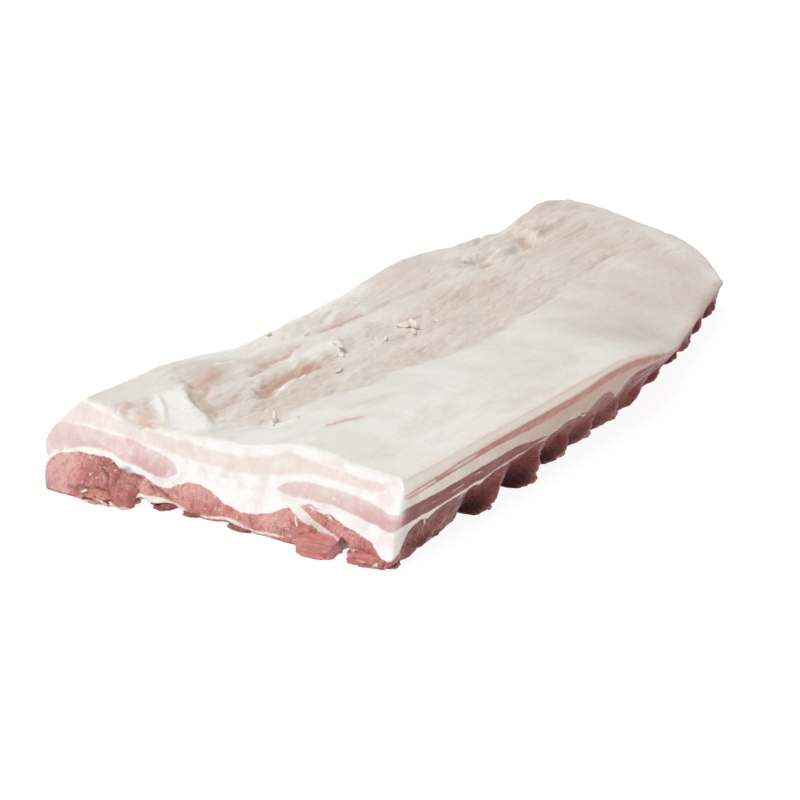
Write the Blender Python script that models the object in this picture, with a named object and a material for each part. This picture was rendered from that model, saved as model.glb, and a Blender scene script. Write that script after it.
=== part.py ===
"""A raw pork belly slab, skinned and boned, lying fat side up.

Run with: blender --background --python part.py

The slab is one solid. +X runs from the clean end cut to the thin flank end, +Y from the straight belly cut
to the thicker back side, and +Z up. The origin is at the centre of the underside's box, on the table.
"""

import math

import bmesh
import bpy

# Driving dimensions, in metres.
LENGTH = 0.552  # end cut to flank end, along the back of the top face
WIDTH = 0.250  # belly cut to the widest line of the back side
THICKNESS = 0.053  # at the corner where the end cut meets the belly cut

# Rib fingers cross the underside: flat ridges on the table, with grooves between them.
RIBS = 14
RIB_PHASE = 1.0 / 12.0  # of a rib's pitch, so that a whole segment lies flat on each ridge
RIB_SLANT = 0.12  # along per across, under the middle of the slab
GROOVE_STARTS = 0.16  # share of the way from ridge to groove that stays flat
GROOVE_DEPTH_BELLY = 0.0115  # by the belly cut
GROOVE_DEPTH_BACK = 0.0035  # by the back side
GROOVE_FADE = 0.080
END_CUT_MARGIN = 0.020  # the underside is flat this near the end cut
FLANK_LIFT = 0.010  # clearance under the free edge of the flank
FLANK_LIFT_WIDTH = 0.050

# How finely the slab is divided.
SEGMENTS_PER_RIB = 6
SEGMENTS_ALONG = RIBS * SEGMENTS_PER_RIB
SEGMENTS_ACROSS = 20
SEGMENTS_DEEP = 7

# The end cut leans out towards the table, and the thick back muscle swells out of it.
END_CUT_LEAN = 0.009
BACK_MUSCLE_REACH = 0.021
BACK_MUSCLE_STARTS = 0.155  # across
BACK_MUSCLE_FULL = 0.205
END_CUT_POWER = 1.4
BACK_MUSCLE_POWER = 1.3

# The belly cut is straight, then the outline draws in towards the flank end.
DRAW_IN_STARTS = 0.290  # along
DRAW_IN_SLOPE = 0.28  # across per along
DRAW_IN_EASE = 0.020
UNDERCUT_NEAR = 0.009  # how far the table line lies inside the belly cut's top edge
UNDERCUT_FAR = 0.026
UNDERCUT_RUN = 0.300
UNDERCUT_POWER = 1.6
RIB_SWELL = 0.004  # how far each rib finger swells out of the belly cut
RIB_SWELL_AT = 0.8  # share of the depth
RIB_SWELL_SPREAD = 0.25

# The back side slopes out from the fat to its widest line at mid height, then turns under.
BACK_SLOPE = 0.022
BACK_TURN_UNDER = 0.008
BACK_WIDEST_AT = 0.50  # share of the depth
BACK_SLOPE_POWER = 1.5
BACK_TURN_POWER = 3
BACK_NARROWING = 0.007  # beyond the end cut's wide muscle
BACK_NARROWING_RUN = 0.090
BACK_WAVE = 0.003
BACK_WAVE_START = 0.250
BACK_WAVE_LENGTH = 0.260

# The flank end slants, rolls over, and has a rounded corner with the belly cut.
FLANK_ROLL = 0.014
FLANK_ROLL_CREST = 2.0 / 3.0  # share of the depth
FLANK_SLANT = 0.034  # how much shorter the slab is by the belly cut
FLANK_CORNER = 0.024
FLANK_CORNER_WIDTH = 0.20  # share of the width

# The flank thins and droops along its free edge.
DROOP_STARTS = 0.235
DROOP_FULL = 0.360
DROOP = 0.026
DROOP_WIDTH = 0.050
DROOP_POWER = 1.5
FLANK_END_DROOP = 0.004
FLANK_END_DROOP_RUN = 0.030

# Swells and hollows of the fat: along, across, spread along, spread across, height.
FAT_SWELLS = (
    (0.000, 0.062, 0.150, 0.024, 0.0050),  # swell beside the belly cut
    (0.080, 0.160, 0.230, 0.050, -0.0090),  # long hollow where the skin pulled fat away
    (0.030, 0.108, 0.060, 0.016, -0.0020),  # step into that hollow
    (0.240, 0.060, 0.150, 0.050, 0.0020),  # broad crown over the belly
    (0.075, 0.226, 0.030, 0.030, 0.0030),  # back crest, by the end cut
    (0.140, 0.222, 0.030, 0.040, -0.0030),  # saddle in the back crest
    (0.330, 0.214, 0.060, 0.045, 0.0060),  # highest swell of the back crest
    (0.372, 0.184, 0.020, 0.013, -0.0060),  # pit left by a gland
    (0.412, 0.184, 0.022, 0.013, -0.0040),  # second, shallower pit
    (0.430, 0.215, 0.040, 0.030, -0.0020),  # saddle beyond the pits
    (0.500, 0.108, 0.045, 0.032, 0.0065),  # shoulder of the flank
    (0.515, 0.205, 0.050, 0.045, 0.0060),  # flank corner
)

FAT_CREAM = (0.76, 0.68, 0.62, 1.0)
RAW_MEAT_ROUGHNESS = 0.42


def smoothstep(start, end, value):
    """0 before start, 1 after end, and an easy curve between."""
    t = min(max((value - start) / (end - start), 0.0), 1.0)
    return t * t * (3.0 - 2.0 * t)


def bell(value, centre, spread):
    """1 at the centre, falling smoothly to 0 a few spreads away."""
    return math.exp(-(((value - centre) / spread) ** 2))


def rib_opening(share_along):
    """0 on a rib finger and 1 in the middle of the groove between two."""
    turn = share_along * RIBS + RIB_PHASE
    away_from_ridge = 0.5 - 0.5 * math.cos(2.0 * math.pi * turn)
    return smoothstep(GROOVE_STARTS, 1.0, away_from_ridge)


def belly_outline(along, depth, opening=1.0):
    """Across position of the belly cut, at a place along it and a share of the depth."""
    run = along - DRAW_IN_STARTS
    drawn_in = DRAW_IN_SLOPE * 0.5 * (run + math.hypot(run, DRAW_IN_EASE))
    undercut = UNDERCUT_NEAR + (UNDERCUT_FAR - UNDERCUT_NEAR) * smoothstep(0.0, UNDERCUT_RUN, along)
    swell = RIB_SWELL * (1.0 - opening) * bell(depth, RIB_SWELL_AT, RIB_SWELL_SPREAD)
    return drawn_in + undercut * depth**UNDERCUT_POWER - swell


def back_outline(along, depth):
    """Across position of the back side: a slope out from the fat, then a turn under."""
    above = max(1.0 - depth / BACK_WIDEST_AT, 0.0)
    below = max((depth - BACK_WIDEST_AT) / (1.0 - BACK_WIDEST_AT), 0.0)
    wave = BACK_WAVE * math.sin(2.0 * math.pi * (along - BACK_WAVE_START) / BACK_WAVE_LENGTH)
    narrowing = BACK_NARROWING * smoothstep(0.0, BACK_NARROWING_RUN, along)
    slopes = BACK_SLOPE * above**BACK_SLOPE_POWER + BACK_TURN_UNDER * below**BACK_TURN_POWER
    return WIDTH - narrowing + wave - slopes


def end_cut_place(across, depth):
    """Along position of the end cut, which leans out and bulges at the back muscle."""
    muscle = smoothstep(BACK_MUSCLE_STARTS, BACK_MUSCLE_FULL, across)
    return -(END_CUT_LEAN * depth**END_CUT_POWER + BACK_MUSCLE_REACH * muscle * depth**BACK_MUSCLE_POWER)


def flank_end_place(share_across, depth):
    """Along position of the flank end, with its slant, rolled edge and rounded corner."""
    corner = max(1.0 - share_across / FLANK_CORNER_WIDTH, 0.0)
    roll = FLANK_ROLL * math.sin(0.5 * math.pi * depth / FLANK_ROLL_CREST)
    return LENGTH + roll - FLANK_SLANT * (1.0 - share_across) - FLANK_CORNER * corner**2


def fat_height(along, across):
    """Height of the fat's top face above the table."""
    height = THICKNESS
    for centre_along, centre_across, spread_along, spread_across, rise in FAT_SWELLS:
        height += rise * bell(along, centre_along, spread_along) * bell(across, centre_across, spread_across)
    inside = max(across - belly_outline(along, 0.0), 0.0)
    thinning = smoothstep(DROOP_STARTS, DROOP_FULL, along)
    height -= DROOP * thinning * math.exp(-((inside / DROOP_WIDTH) ** DROOP_POWER))
    height -= FLANK_END_DROOP * bell(along, LENGTH, FLANK_END_DROOP_RUN)
    return height


def underside_height(along, across, opening):
    """Height of the underside above the table: 0 on the rib fingers, higher in the grooves."""
    inside = max(across - belly_outline(along, 1.0), 0.0)
    fade = math.exp(-inside / GROOVE_FADE)
    groove = GROOVE_DEPTH_BACK + (GROOVE_DEPTH_BELLY - GROOVE_DEPTH_BACK) * fade
    groove *= smoothstep(0.0, END_CUT_MARGIN, along)
    free_edge = smoothstep(DROOP_STARTS, DROOP_FULL, along) * (1.0 - smoothstep(0.0, FLANK_LIFT_WIDTH, inside))
    return max(groove * opening, FLANK_LIFT * free_edge)


def slab_point(share_along, share_across, share_up):
    """Place in the slab of a point of the unit box."""
    depth = 1.0 - share_up
    start = end_cut_place(share_across * WIDTH, depth)
    end = flank_end_place(share_across, depth)
    slant = RIB_SLANT * share_across * WIDTH * depth * math.sin(math.pi * share_along)
    along = start + (end - start) * share_along + slant
    opening = rib_opening(share_along)
    belly = belly_outline(along, depth, opening)
    across = belly + (back_outline(along, depth) - belly) * share_across
    low = underside_height(along, across, opening)
    high = fat_height(along, across)
    return along, across, low + (high - low) * share_up


def subdivided_box():
    """A unit box from (0, 0, 0) to (1, 1, 1), divided into a grid on every face."""
    box = bmesh.new()
    bmesh.ops.create_cube(box, size=1.0)
    bmesh.ops.translate(box, verts=box.verts, vec=(0.5, 0.5, 0.5))
    for axis, segments in enumerate((SEGMENTS_ALONG, SEGMENTS_ACROSS, SEGMENTS_DEEP)):
        rungs = [e for e in box.edges if abs(e.verts[0].co[axis] - e.verts[1].co[axis]) > 0.5]
        bmesh.ops.subdivide_edges(box, edges=rungs, cuts=segments - 1, use_grid_fill=True)
    return box


def pork_material():
    """Raw pork seen as one plain colour, that of its fat."""
    material = bpy.data.materials.new("raw_pork")
    material.use_nodes = True
    shader = material.node_tree.nodes["Principled BSDF"]
    shader.inputs["Base Color"].default_value = FAT_CREAM
    shader.inputs["Roughness"].default_value = RAW_MEAT_ROUGHNESS
    shader.inputs["Metallic"].default_value = 0.0
    return material


def make_slab(collection):
    """Shapes the slab from the divided box, and centres its footprint on the origin."""
    box = subdivided_box()
    for vertex in box.verts:
        vertex.co = slab_point(*vertex.co)
    middle = [
        (min(v.co[axis] for v in box.verts) + max(v.co[axis] for v in box.verts)) / 2.0
        for axis in range(2)
    ]
    bmesh.ops.translate(box, verts=box.verts, vec=(-middle[0], -middle[1], 0.0))
    bmesh.ops.recalc_face_normals(box, faces=box.faces)
    mesh = bpy.data.meshes.new("pork_belly_slab")
    box.to_mesh(mesh)
    box.free()
    mesh.shade_smooth()
    mesh.set_sharp_from_angle(angle=math.radians(50))
    mesh.materials.append(pork_material())
    slab = bpy.data.objects.new("pork_belly_slab", mesh)
    collection.objects.link(slab)
    return slab


def main():
    """Clears the scene and builds the slab."""
    for obj in list(bpy.data.objects):
        bpy.data.objects.remove(obj)
    collection = bpy.data.collections.new("Pork belly slab")
    bpy.context.scene.collection.children.link(collection)
    make_slab(collection)


main()
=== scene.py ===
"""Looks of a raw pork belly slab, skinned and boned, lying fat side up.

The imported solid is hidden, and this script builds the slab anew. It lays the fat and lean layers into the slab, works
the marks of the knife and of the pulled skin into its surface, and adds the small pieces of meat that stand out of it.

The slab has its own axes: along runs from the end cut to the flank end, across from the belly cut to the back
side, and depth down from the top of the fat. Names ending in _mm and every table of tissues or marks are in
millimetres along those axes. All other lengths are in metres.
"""

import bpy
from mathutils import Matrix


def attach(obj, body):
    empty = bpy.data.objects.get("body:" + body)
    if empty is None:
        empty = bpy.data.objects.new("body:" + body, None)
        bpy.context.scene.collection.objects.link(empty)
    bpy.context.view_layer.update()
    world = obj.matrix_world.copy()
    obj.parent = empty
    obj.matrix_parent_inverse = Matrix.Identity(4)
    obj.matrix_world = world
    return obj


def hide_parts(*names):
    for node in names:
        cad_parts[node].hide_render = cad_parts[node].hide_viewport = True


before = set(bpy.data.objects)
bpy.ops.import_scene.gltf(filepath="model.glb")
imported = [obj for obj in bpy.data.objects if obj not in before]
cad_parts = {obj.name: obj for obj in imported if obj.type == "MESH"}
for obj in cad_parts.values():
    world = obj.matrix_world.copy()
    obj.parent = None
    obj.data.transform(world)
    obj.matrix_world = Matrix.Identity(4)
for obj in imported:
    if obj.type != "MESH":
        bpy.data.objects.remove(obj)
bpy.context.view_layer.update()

import logging
import math
from collections.abc import Callable
from dataclasses import dataclass, field
from enum import Enum
from itertools import product
from typing import ClassVar

import bmesh
import bpy
import numpy as np
from mathutils import Matrix, Vector

Array = np.ndarray
Knots = tuple[tuple[float, float], ...]
Triple = tuple[float, float, float]
Paint = tuple[float, float, float, float]

NODE = "pork_belly_slab"
BODY = "root"
MM = 0.001

log = logging.getLogger("pork_belly")


# ---------------------------------------------------------------------------------------------------------------
# Curves and noise
# ---------------------------------------------------------------------------------------------------------------


def smoothstep(start: float, end: float, value: Array) -> Array:
    """Eases from 0 to 1.

    Args:
        start: Where the curve leaves 0.
        end: Where the curve reaches 1.
        value: Places along the curve.

    Returns:
        The curve's value at each place.
    """
    t = np.clip((value - start) / (end - start), 0.0, 1.0)
    return t * t * (3.0 - 2.0 * t)


def bell(value: Array, centre: float, spread: float) -> Array:
    """Gives 1 at the centre, falling smoothly to 0 a few spreads away."""
    return np.exp(-(((value - centre) / spread) ** 2))


def through(knots: Knots, at: Array) -> Array:
    """Follows a smooth line through a few knots.

    Args:
        knots: Place and value of each knot, in rising order of place.
        at: Places to read.

    Returns:
        The line's value at each place, held level before the first knot and after the last.
    """
    places, values = np.array(knots, float).T
    slopes = np.gradient(values, places)
    index = np.clip(np.searchsorted(places, at) - 1, 0, len(places) - 2)
    step = places[index + 1] - places[index]
    t = np.clip((at - places[index]) / step, 0.0, 1.0)
    start, end = values[index], values[index + 1]
    out_of, into = slopes[index] * step, slopes[index + 1] * step
    ease = t * t * (3.0 - 2.0 * t)
    return start + (end - start) * ease + out_of * t * (1.0 - t) ** 2 - into * t * t * (1.0 - t)


class GradientNoise:
    """Smooth noise in space, the same for the same seed."""

    CELLS = 256

    def __init__(self, seed: int) -> None:
        """Draws the noise's slopes.

        Args:
            seed: Start of the random numbers.
        """
        random = np.random.default_rng(seed)
        self.order = np.tile(random.permutation(self.CELLS), 2)
        slopes = random.normal(size=(self.CELLS, 3))
        self.slopes = slopes / np.linalg.norm(slopes, axis=1, keepdims=True)

    def at(self, points: Array) -> Array:
        """Reads one layer of the noise.

        Args:
            points: Places in space, one row each.

        Returns:
            Values from about -0.7 to 0.7.
        """
        cell = np.floor(points).astype(int)
        within = points - cell
        ease = within**3 * (within * (within * 6.0 - 15.0) + 10.0)
        total = np.zeros(len(points))
        for corner in product((0, 1), repeat=3):
            offset = np.array(corner)
            index = (cell + offset) % self.CELLS
            key = self.order[self.order[self.order[index[:, 0]] + index[:, 1]] + index[:, 2]]
            weight = np.prod(np.where(offset == 1, ease, 1.0 - ease), axis=1)
            total += weight * np.sum(self.slopes[key] * (within - offset), axis=1)
        return total

    def stretched(self, along: Array, across: Array, up: Array, sizes: Triple, octaves: int = 1) -> Array:
        """Reads the noise with a cell size of its own along each axis.

        Args:
            along: Places along the slab.
            across: Places across the slab.
            up: Places upwards.
            sizes: Cell size along, across and upwards, in the unit of the places.
            octaves: How many ever finer layers are added up.

        Returns:
            Values from about -1 to 1.
        """
        points = np.stack(np.broadcast_arrays(along, across, up), axis=-1).astype(float) / np.array(sizes)
        return sum(self.at(points * 2.0**octave + 17.3 * octave) * 0.5**octave for octave in range(octaves))


@dataclass(frozen=True)
class Path:
    """A smooth line on one of the slab's faces, through a few points in millimetres."""

    points: Knots
    steps: int = 6

    def corners(self) -> Array:
        """Gives the line as short straight runs, one corner a row."""
        points = np.array(self.points, float)
        if len(points) < 3:
            return points
        spacing = np.linalg.norm(np.diff(points, axis=0), axis=1)
        chord = np.concatenate([[0.0], np.cumsum(spacing)])
        at = np.linspace(0.0, chord[-1], self.steps * (len(points) - 1) + 1)
        sides = [through(tuple(zip(chord, points[:, axis])), at) for axis in range(2)]
        return np.stack(sides, axis=1)

    def closest(self, first: Array, second: Array) -> tuple[Array, Array, Array]:
        """Measures points against the line.

        Args:
            first: First coordinate of the points.
            second: Second coordinate of the points.

        Returns:
            The distance to the line, 1 on the line's left or -1 on its right, and the share along it.
        """
        corners = self.corners()
        spans = np.linalg.norm(np.diff(corners, axis=0), axis=1)
        reached = np.concatenate([[0.0], np.cumsum(spans)])
        best = np.full(first.shape, np.inf)
        side = np.ones(first.shape)
        share = np.zeros(first.shape)
        for index, span in enumerate(spans):
            start, run = corners[index], corners[index + 1] - corners[index]
            to_first, to_second = first - start[0], second - start[1]
            t = np.clip((to_first * run[0] + to_second * run[1]) / span**2, 0.0, 1.0)
            distance = np.hypot(to_first - t * run[0], to_second - t * run[1])
            closer = distance < best
            best = np.where(closer, distance, best)
            side = np.where(closer, np.sign(run[0] * to_second - run[1] * to_first), side)
            share = np.where(closer, (reached[index] + t * span) / reached[-1], share)
        return best, side, share


# ---------------------------------------------------------------------------------------------------------------
# The slab's form
# ---------------------------------------------------------------------------------------------------------------


@dataclass(frozen=True)
class RibGroove:
    """A groove that a rib left across the underside, between two fingers of meat."""

    centre_mm: float
    half_width_mm: float
    height_mm: float


@dataclass(frozen=True)
class EndNotch:
    """A gap under the end cut, where one muscle's end stands clear of the table."""

    centre_mm: float
    half_width_mm: float
    height_mm: float


@dataclass(frozen=True)
class FatSwell:
    """A swell or a hollow of the fat."""

    along: float
    across: float
    spread_along: float
    spread_across: float
    rise: float


@dataclass(frozen=True)
class SlabForm:
    """The slab's outline, worked out at any point of a unit box: along, across and up."""

    length: float = 0.552
    width: float = 0.250
    thickness: float = 0.053
    rib_slant: float = 0.12
    groove_back: float = 0.0035
    groove_fade: float = 0.080
    cavity_fade: float = 0.022
    end_cut_margin: float = 0.020
    flank_lift: float = 0.010
    flank_lift_width: float = 0.050
    end_cut_lean: float = 0.009
    end_cut_power: float = 1.4
    back_muscle_reach: float = 0.021
    back_muscle_starts: float = 0.155
    back_muscle_full: float = 0.205
    back_muscle_power: float = 1.3
    draw_in_starts: float = 0.290
    draw_in_slope: float = 0.28
    draw_in_ease: float = 0.020
    undercut_near: float = 0.009
    undercut_far: float = 0.026
    undercut_run: float = 0.300
    undercut_power: float = 1.6
    rib_swell: float = 0.004
    rib_swell_at: float = 0.8
    rib_swell_spread: float = 0.25
    back_slope: float = 0.022
    back_slope_power: float = 1.5
    back_turn_under: float = 0.008
    back_turn_power: float = 3.0
    back_widest_at: float = 0.5
    back_narrowing: float = 0.007
    back_narrowing_run: float = 0.090
    back_wave: float = 0.003
    back_wave_start: float = 0.250
    back_wave_length: float = 0.260
    flank_roll: float = 0.014
    flank_roll_crest: float = 2.0 / 3.0
    flank_slant: float = 0.034
    flank_corner: float = 0.024
    flank_corner_width: float = 0.20
    droop_starts: float = 0.235
    droop_full: float = 0.360
    droop: float = 0.026
    droop_width: float = 0.050
    droop_power: float = 1.5
    flank_end_droop: float = 0.004
    flank_end_droop_run: float = 0.030
    swells: tuple[FatSwell, ...] = (
        FatSwell(0.000, 0.062, 0.150, 0.024, 0.0050),
        FatSwell(0.080, 0.160, 0.230, 0.050, -0.0090),
        FatSwell(0.030, 0.108, 0.060, 0.016, -0.0020),
        FatSwell(0.240, 0.060, 0.150, 0.050, 0.0020),
        FatSwell(0.075, 0.226, 0.030, 0.030, 0.0030),
        FatSwell(0.140, 0.222, 0.030, 0.040, -0.0030),
        FatSwell(0.330, 0.214, 0.060, 0.045, 0.0060),
        FatSwell(0.372, 0.184, 0.020, 0.013, -0.0060),
        FatSwell(0.412, 0.184, 0.022, 0.013, -0.0040),
        FatSwell(0.430, 0.215, 0.040, 0.030, -0.0020),
        FatSwell(0.500, 0.108, 0.045, 0.032, 0.0065),
        FatSwell(0.515, 0.205, 0.050, 0.045, 0.0060),
    )
    grooves: tuple[RibGroove, ...] = (
        RibGroove(22.0, 6.0, 2.0),
        RibGroove(80.0, 9.0, 3.0),
        RibGroove(131.0, 10.0, 3.0),
        RibGroove(178.0, 9.0, 3.0),
        RibGroove(214.0, 8.0, 3.0),
        RibGroove(251.0, 8.0, 3.0),
        RibGroove(288.0, 9.0, 8.0),
        RibGroove(326.0, 9.0, 8.0),
        RibGroove(364.0, 9.0, 8.0),
        RibGroove(402.0, 9.0, 8.0),
        RibGroove(440.0, 9.0, 8.0),
        RibGroove(480.0, 9.0, 8.0),
    )
    notches: tuple[EndNotch, ...] = (
        EndNotch(35.5, 6.0, 13.0),
        EndNotch(160.0, 11.0, 4.0),
        EndNotch(174.0, 6.0, 7.0),
        EndNotch(118.0, 7.0, 2.5),
    )
    finger_line: Knots = (
        (-12, 0), (0, 1), (8, -1), (15, 1), (22, 3), (29, 1), (36, 2), (43, 2), (49, 3), (57, 4), (66, 6), (78, 10),
        (84, 10), (87, 3), (90, -2), (97, -4), (103, -1), (110, 3), (120, 6), (134, 9.5), (138, 9), (141, -4),
        (145, -8), (151, -6), (156, 0), (164, 4), (174, 7), (183, 8), (186, 1), (190, -4), (197, -2), (205, 3),
        (214, 6), (219, 3), (224, -2), (232, -2), (242, 1), (251, 5), (256, 2), (261, -3), (270, -2), (279, 0),
        (288, 4), (292, 1), (297, -4), (306, -4), (316, -1), (326, 3), (331, 0), (336, -6), (345, -6), (355, -3),
        (364, 0), (369, -4), (376, -10), (388, -12), (400, -13), (412, -14), (423, -12), (431, -6), (438, -5),
        (444, -12), (452, -14), (462, -12), (470, -6), (479, -5), (486, -12), (497, -15), (508, -14), (516, -9),
        (530, -3),
    )
    finger_starts: float = 0.50
    finger_starts_far: float = 0.22
    finger_full: float = 0.95
    finger_slant: float = 0.050
    muscle_tuck: float = 0.0032
    tuck_starts: float = 0.54
    tuck_full: float = 0.72
    back_corner_tuck: float = 0.0030
    back_corner_tuck_run: float = 0.030

    def finger_place(self, nominal: Array, depth: Array) -> Array:
        """Gives the place on the finger line that rules a point, as the fingers slant down towards the end cut."""
        return nominal - self.finger_slant * (1.0 - depth)

    def finger_offset(self, nominal: Array, depth: Array) -> Array:
        """Gives how far the torn lower part of the belly cut stands out, below 0, or falls back between fingers."""
        far = smoothstep(0.280, 0.380, nominal)
        starts = self.finger_starts + (self.finger_starts_far - self.finger_starts) * far
        share = smoothstep(starts, self.finger_full, depth)
        return through(self.finger_line, self.finger_place(nominal, depth) / MM) * MM * share

    def calm_swell(self, depth: Array, opening: Array) -> Array:
        """Gives how much of the fingers' swell is taken back above the torn lower part of the belly cut."""
        swell = self.rib_swell * (1.0 - opening) * bell(depth, self.rib_swell_at, self.rib_swell_spread)
        return swell * (1.0 - smoothstep(self.finger_starts, self.finger_full, depth))

    def end_cut_tuck(self, across: Array, depth: Array) -> Array:
        """Gives how far the back muscle's end is flattened, along the slab."""
        muscle = smoothstep(self.back_muscle_starts, self.back_muscle_full, across)
        return self.muscle_tuck * muscle * smoothstep(self.tuck_starts, self.tuck_full, depth)

    def back_corner(self, along: Array, depth: Array) -> Array:
        """Gives how far the back side is flattened by the end cut."""
        near = np.exp(-np.maximum(along + self.back_muscle_reach, 0.0) / self.back_corner_tuck_run)
        return self.back_corner_tuck * near * smoothstep(self.tuck_starts, self.tuck_full, depth)

    def groove_opening(self, nominal: Array) -> tuple[Array, Array]:
        """Finds the groove over each place.

        Args:
            nominal: Place along the belly cut's lower edge.

        Returns:
            0 on a finger to 1 in the middle of a groove, and that groove's height by the belly cut.
        """
        opening = np.zeros(nominal.shape)
        height = np.zeros(nominal.shape)
        for groove in self.grooves:
            away = np.abs(nominal / MM - groove.centre_mm) / groove.half_width_mm
            here = 1.0 - smoothstep(0.25, 1.25, away)
            height = np.where(here > opening, groove.height_mm * MM, height)
            opening = np.maximum(opening, here)
        return opening, height

    def belly_outline(self, along: Array, depth: Array, opening: Array) -> Array:
        """Gives the belly cut's place across the slab.

        Args:
            along: Place along the slab.
            depth: Share of the slab's depth.
            opening: 1 over a rib groove, 0 over a finger.

        Returns:
            The place across.
        """
        run = along - self.draw_in_starts
        drawn_in = self.draw_in_slope * 0.5 * (run + np.hypot(run, self.draw_in_ease))
        undercut = self.undercut_near + (self.undercut_far - self.undercut_near) * smoothstep(
            0.0, self.undercut_run, along
        )
        swell = self.rib_swell * (1.0 - opening) * bell(depth, self.rib_swell_at, self.rib_swell_spread)
        return drawn_in + undercut * depth**self.undercut_power - swell

    def back_outline(self, along: Array, depth: Array) -> Array:
        """Gives the back side's place across the slab: a slope out from the fat, then a turn under."""
        above = np.maximum(1.0 - depth / self.back_widest_at, 0.0)
        below = np.maximum((depth - self.back_widest_at) / (1.0 - self.back_widest_at), 0.0)
        wave = self.back_wave * np.sin(2.0 * math.pi * (along - self.back_wave_start) / self.back_wave_length)
        narrowing = self.back_narrowing * smoothstep(0.0, self.back_narrowing_run, along)
        slopes = self.back_slope * above**self.back_slope_power
        slopes += self.back_turn_under * below**self.back_turn_power
        return self.width - narrowing + wave - slopes

    def end_cut_place(self, across: Array, depth: Array) -> Array:
        """Gives the end cut's place along the slab: it leans out, and bulges at the back muscle."""
        muscle = smoothstep(self.back_muscle_starts, self.back_muscle_full, across)
        lean = self.end_cut_lean * depth**self.end_cut_power
        return -(lean + self.back_muscle_reach * muscle * depth**self.back_muscle_power)

    def flank_end_place(self, share_across: Array, depth: Array) -> Array:
        """Gives the flank end's place along the slab, with its slant, rolled edge and rounded corner."""
        corner = np.maximum(1.0 - share_across / self.flank_corner_width, 0.0)
        roll = self.flank_roll * np.sin(0.5 * math.pi * depth / self.flank_roll_crest)
        return self.length + roll - self.flank_slant * (1.0 - share_across) - self.flank_corner * corner**2

    def fat_height(self, along: Array, across: Array) -> Array:
        """Gives the height of the fat's top face above the table."""
        height = np.full(np.shape(along), self.thickness)
        for swell in self.swells:
            height += (
                swell.rise
                * bell(along, swell.along, swell.spread_along)
                * bell(across, swell.across, swell.spread_across)
            )
        inside = np.maximum(across - self.belly_outline(along, 0.0, 1.0), 0.0)
        thinning = smoothstep(self.droop_starts, self.droop_full, along)
        height -= self.droop * thinning * np.exp(-((inside / self.droop_width) ** self.droop_power))
        height -= self.flank_end_droop * bell(along, self.length, self.flank_end_droop_run)
        return height

    def underside_height(self, along: Array, across: Array, opening: Array, height: Array) -> Array:
        """Gives the height of the underside above the table.

        Args:
            along: Place along the slab.
            across: Place across the slab.
            opening: 1 in a groove, 0 on a finger.
            height: The groove's height by the belly cut.

        Returns:
            0 on the fingers, more in the grooves, in the end cut's gaps and under the flank's free edge.
        """
        inside = np.maximum(across - self.belly_outline(along, 1.0, opening), 0.0)
        reach = 0.5 * np.exp(-inside / self.groove_fade) + 0.5 * np.exp(-inside / self.cavity_fade)
        groove = (self.groove_back + (height - self.groove_back) * reach) * opening
        groove *= smoothstep(0.0, self.end_cut_margin, along)
        free_edge = smoothstep(self.droop_starts, self.droop_full, along)
        free_edge *= 1.0 - smoothstep(0.0, self.flank_lift_width, inside)
        low = np.maximum(groove, self.flank_lift * free_edge)
        for notch in self.notches:
            gap = notch.height_mm * MM * bell(across / MM, notch.centre_mm, notch.half_width_mm)
            low = np.maximum(low, gap * np.exp(-np.maximum(along + self.end_cut_lean, 0.0) / 0.009))
        return low


@dataclass
class SlabPoints:
    """Every vertex of the slab: its share of the unit box and where that is in the slab."""

    share_along: Array
    share_across: Array
    share_up: Array
    along: Array = field(default_factory=lambda: np.zeros(0))
    across: Array = field(default_factory=lambda: np.zeros(0))
    height: Array = field(default_factory=lambda: np.zeros(0))
    depth_mm: Array = field(default_factory=lambda: np.zeros(0))
    layer_depth_mm: Array = field(default_factory=lambda: np.zeros(0))
    inside_end: Array = field(default_factory=lambda: np.zeros(0))
    inside_belly: Array = field(default_factory=lambda: np.zeros(0))
    opening: Array = field(default_factory=lambda: np.zeros(0))
    groove_height: Array = field(default_factory=lambda: np.zeros(0))
    finger_place: Array = field(default_factory=lambda: np.zeros(0))


# ---------------------------------------------------------------------------------------------------------------
# Tissues
# ---------------------------------------------------------------------------------------------------------------


@dataclass(frozen=True)
class LayerEdge:
    """One edge of a tissue layer: its depth below the fat's top, along each face that shows it."""

    on_end_cut: Knots
    on_belly_cut: Knots
    on_back_side: Knots
    end_reach: float = 0.002
    calm_on_belly: float = 0.7
    wave_mm: float = 0.6

    def depth(self, points: SlabPoints, noise: GradientNoise) -> Array:
        """Reads the edge's depth in millimetres at every vertex.

        Args:
            points: The slab's vertices.
            noise: Noise that makes the edge wander.

        Returns:
            The depth at each vertex.
        """
        along, across = points.along / MM, points.across / MM
        near_end = np.exp(-np.maximum(points.inside_end, 0.0) / self.end_reach)
        towards_back = smoothstep(0.35, 0.95, points.share_across)
        belly = through(self.on_belly_cut, along)
        back = through(self.on_back_side, along)
        behind = belly + (back - belly) * towards_back
        end = through(self.on_end_cut, across)
        near_belly = np.exp(-np.maximum(points.inside_belly, 0.0) / 0.008) * (1.0 - near_end)
        wander = self.wave_mm * noise.stretched(along, across, 0.0, (14.0, 14.0, 14.0), 2)
        wander *= 1.0 - self.calm_on_belly * near_belly
        return end * near_end + behind * (1.0 - near_end) + wander


@dataclass(frozen=True)
class TissueLayer:
    """A streak of meat between two edges."""

    top: LayerEdge
    bottom: LayerEdge

    def measure(self, points: SlabPoints, noise: GradientNoise) -> tuple[Array, Array]:
        """Gives each vertex's offset from the middle of the streak, and half the streak's thickness, in mm."""
        top = self.top.depth(points, noise)
        bottom = self.bottom.depth(points, noise)
        return points.layer_depth_mm - 0.5 * (top + bottom), 0.5 * (bottom - top)


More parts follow.
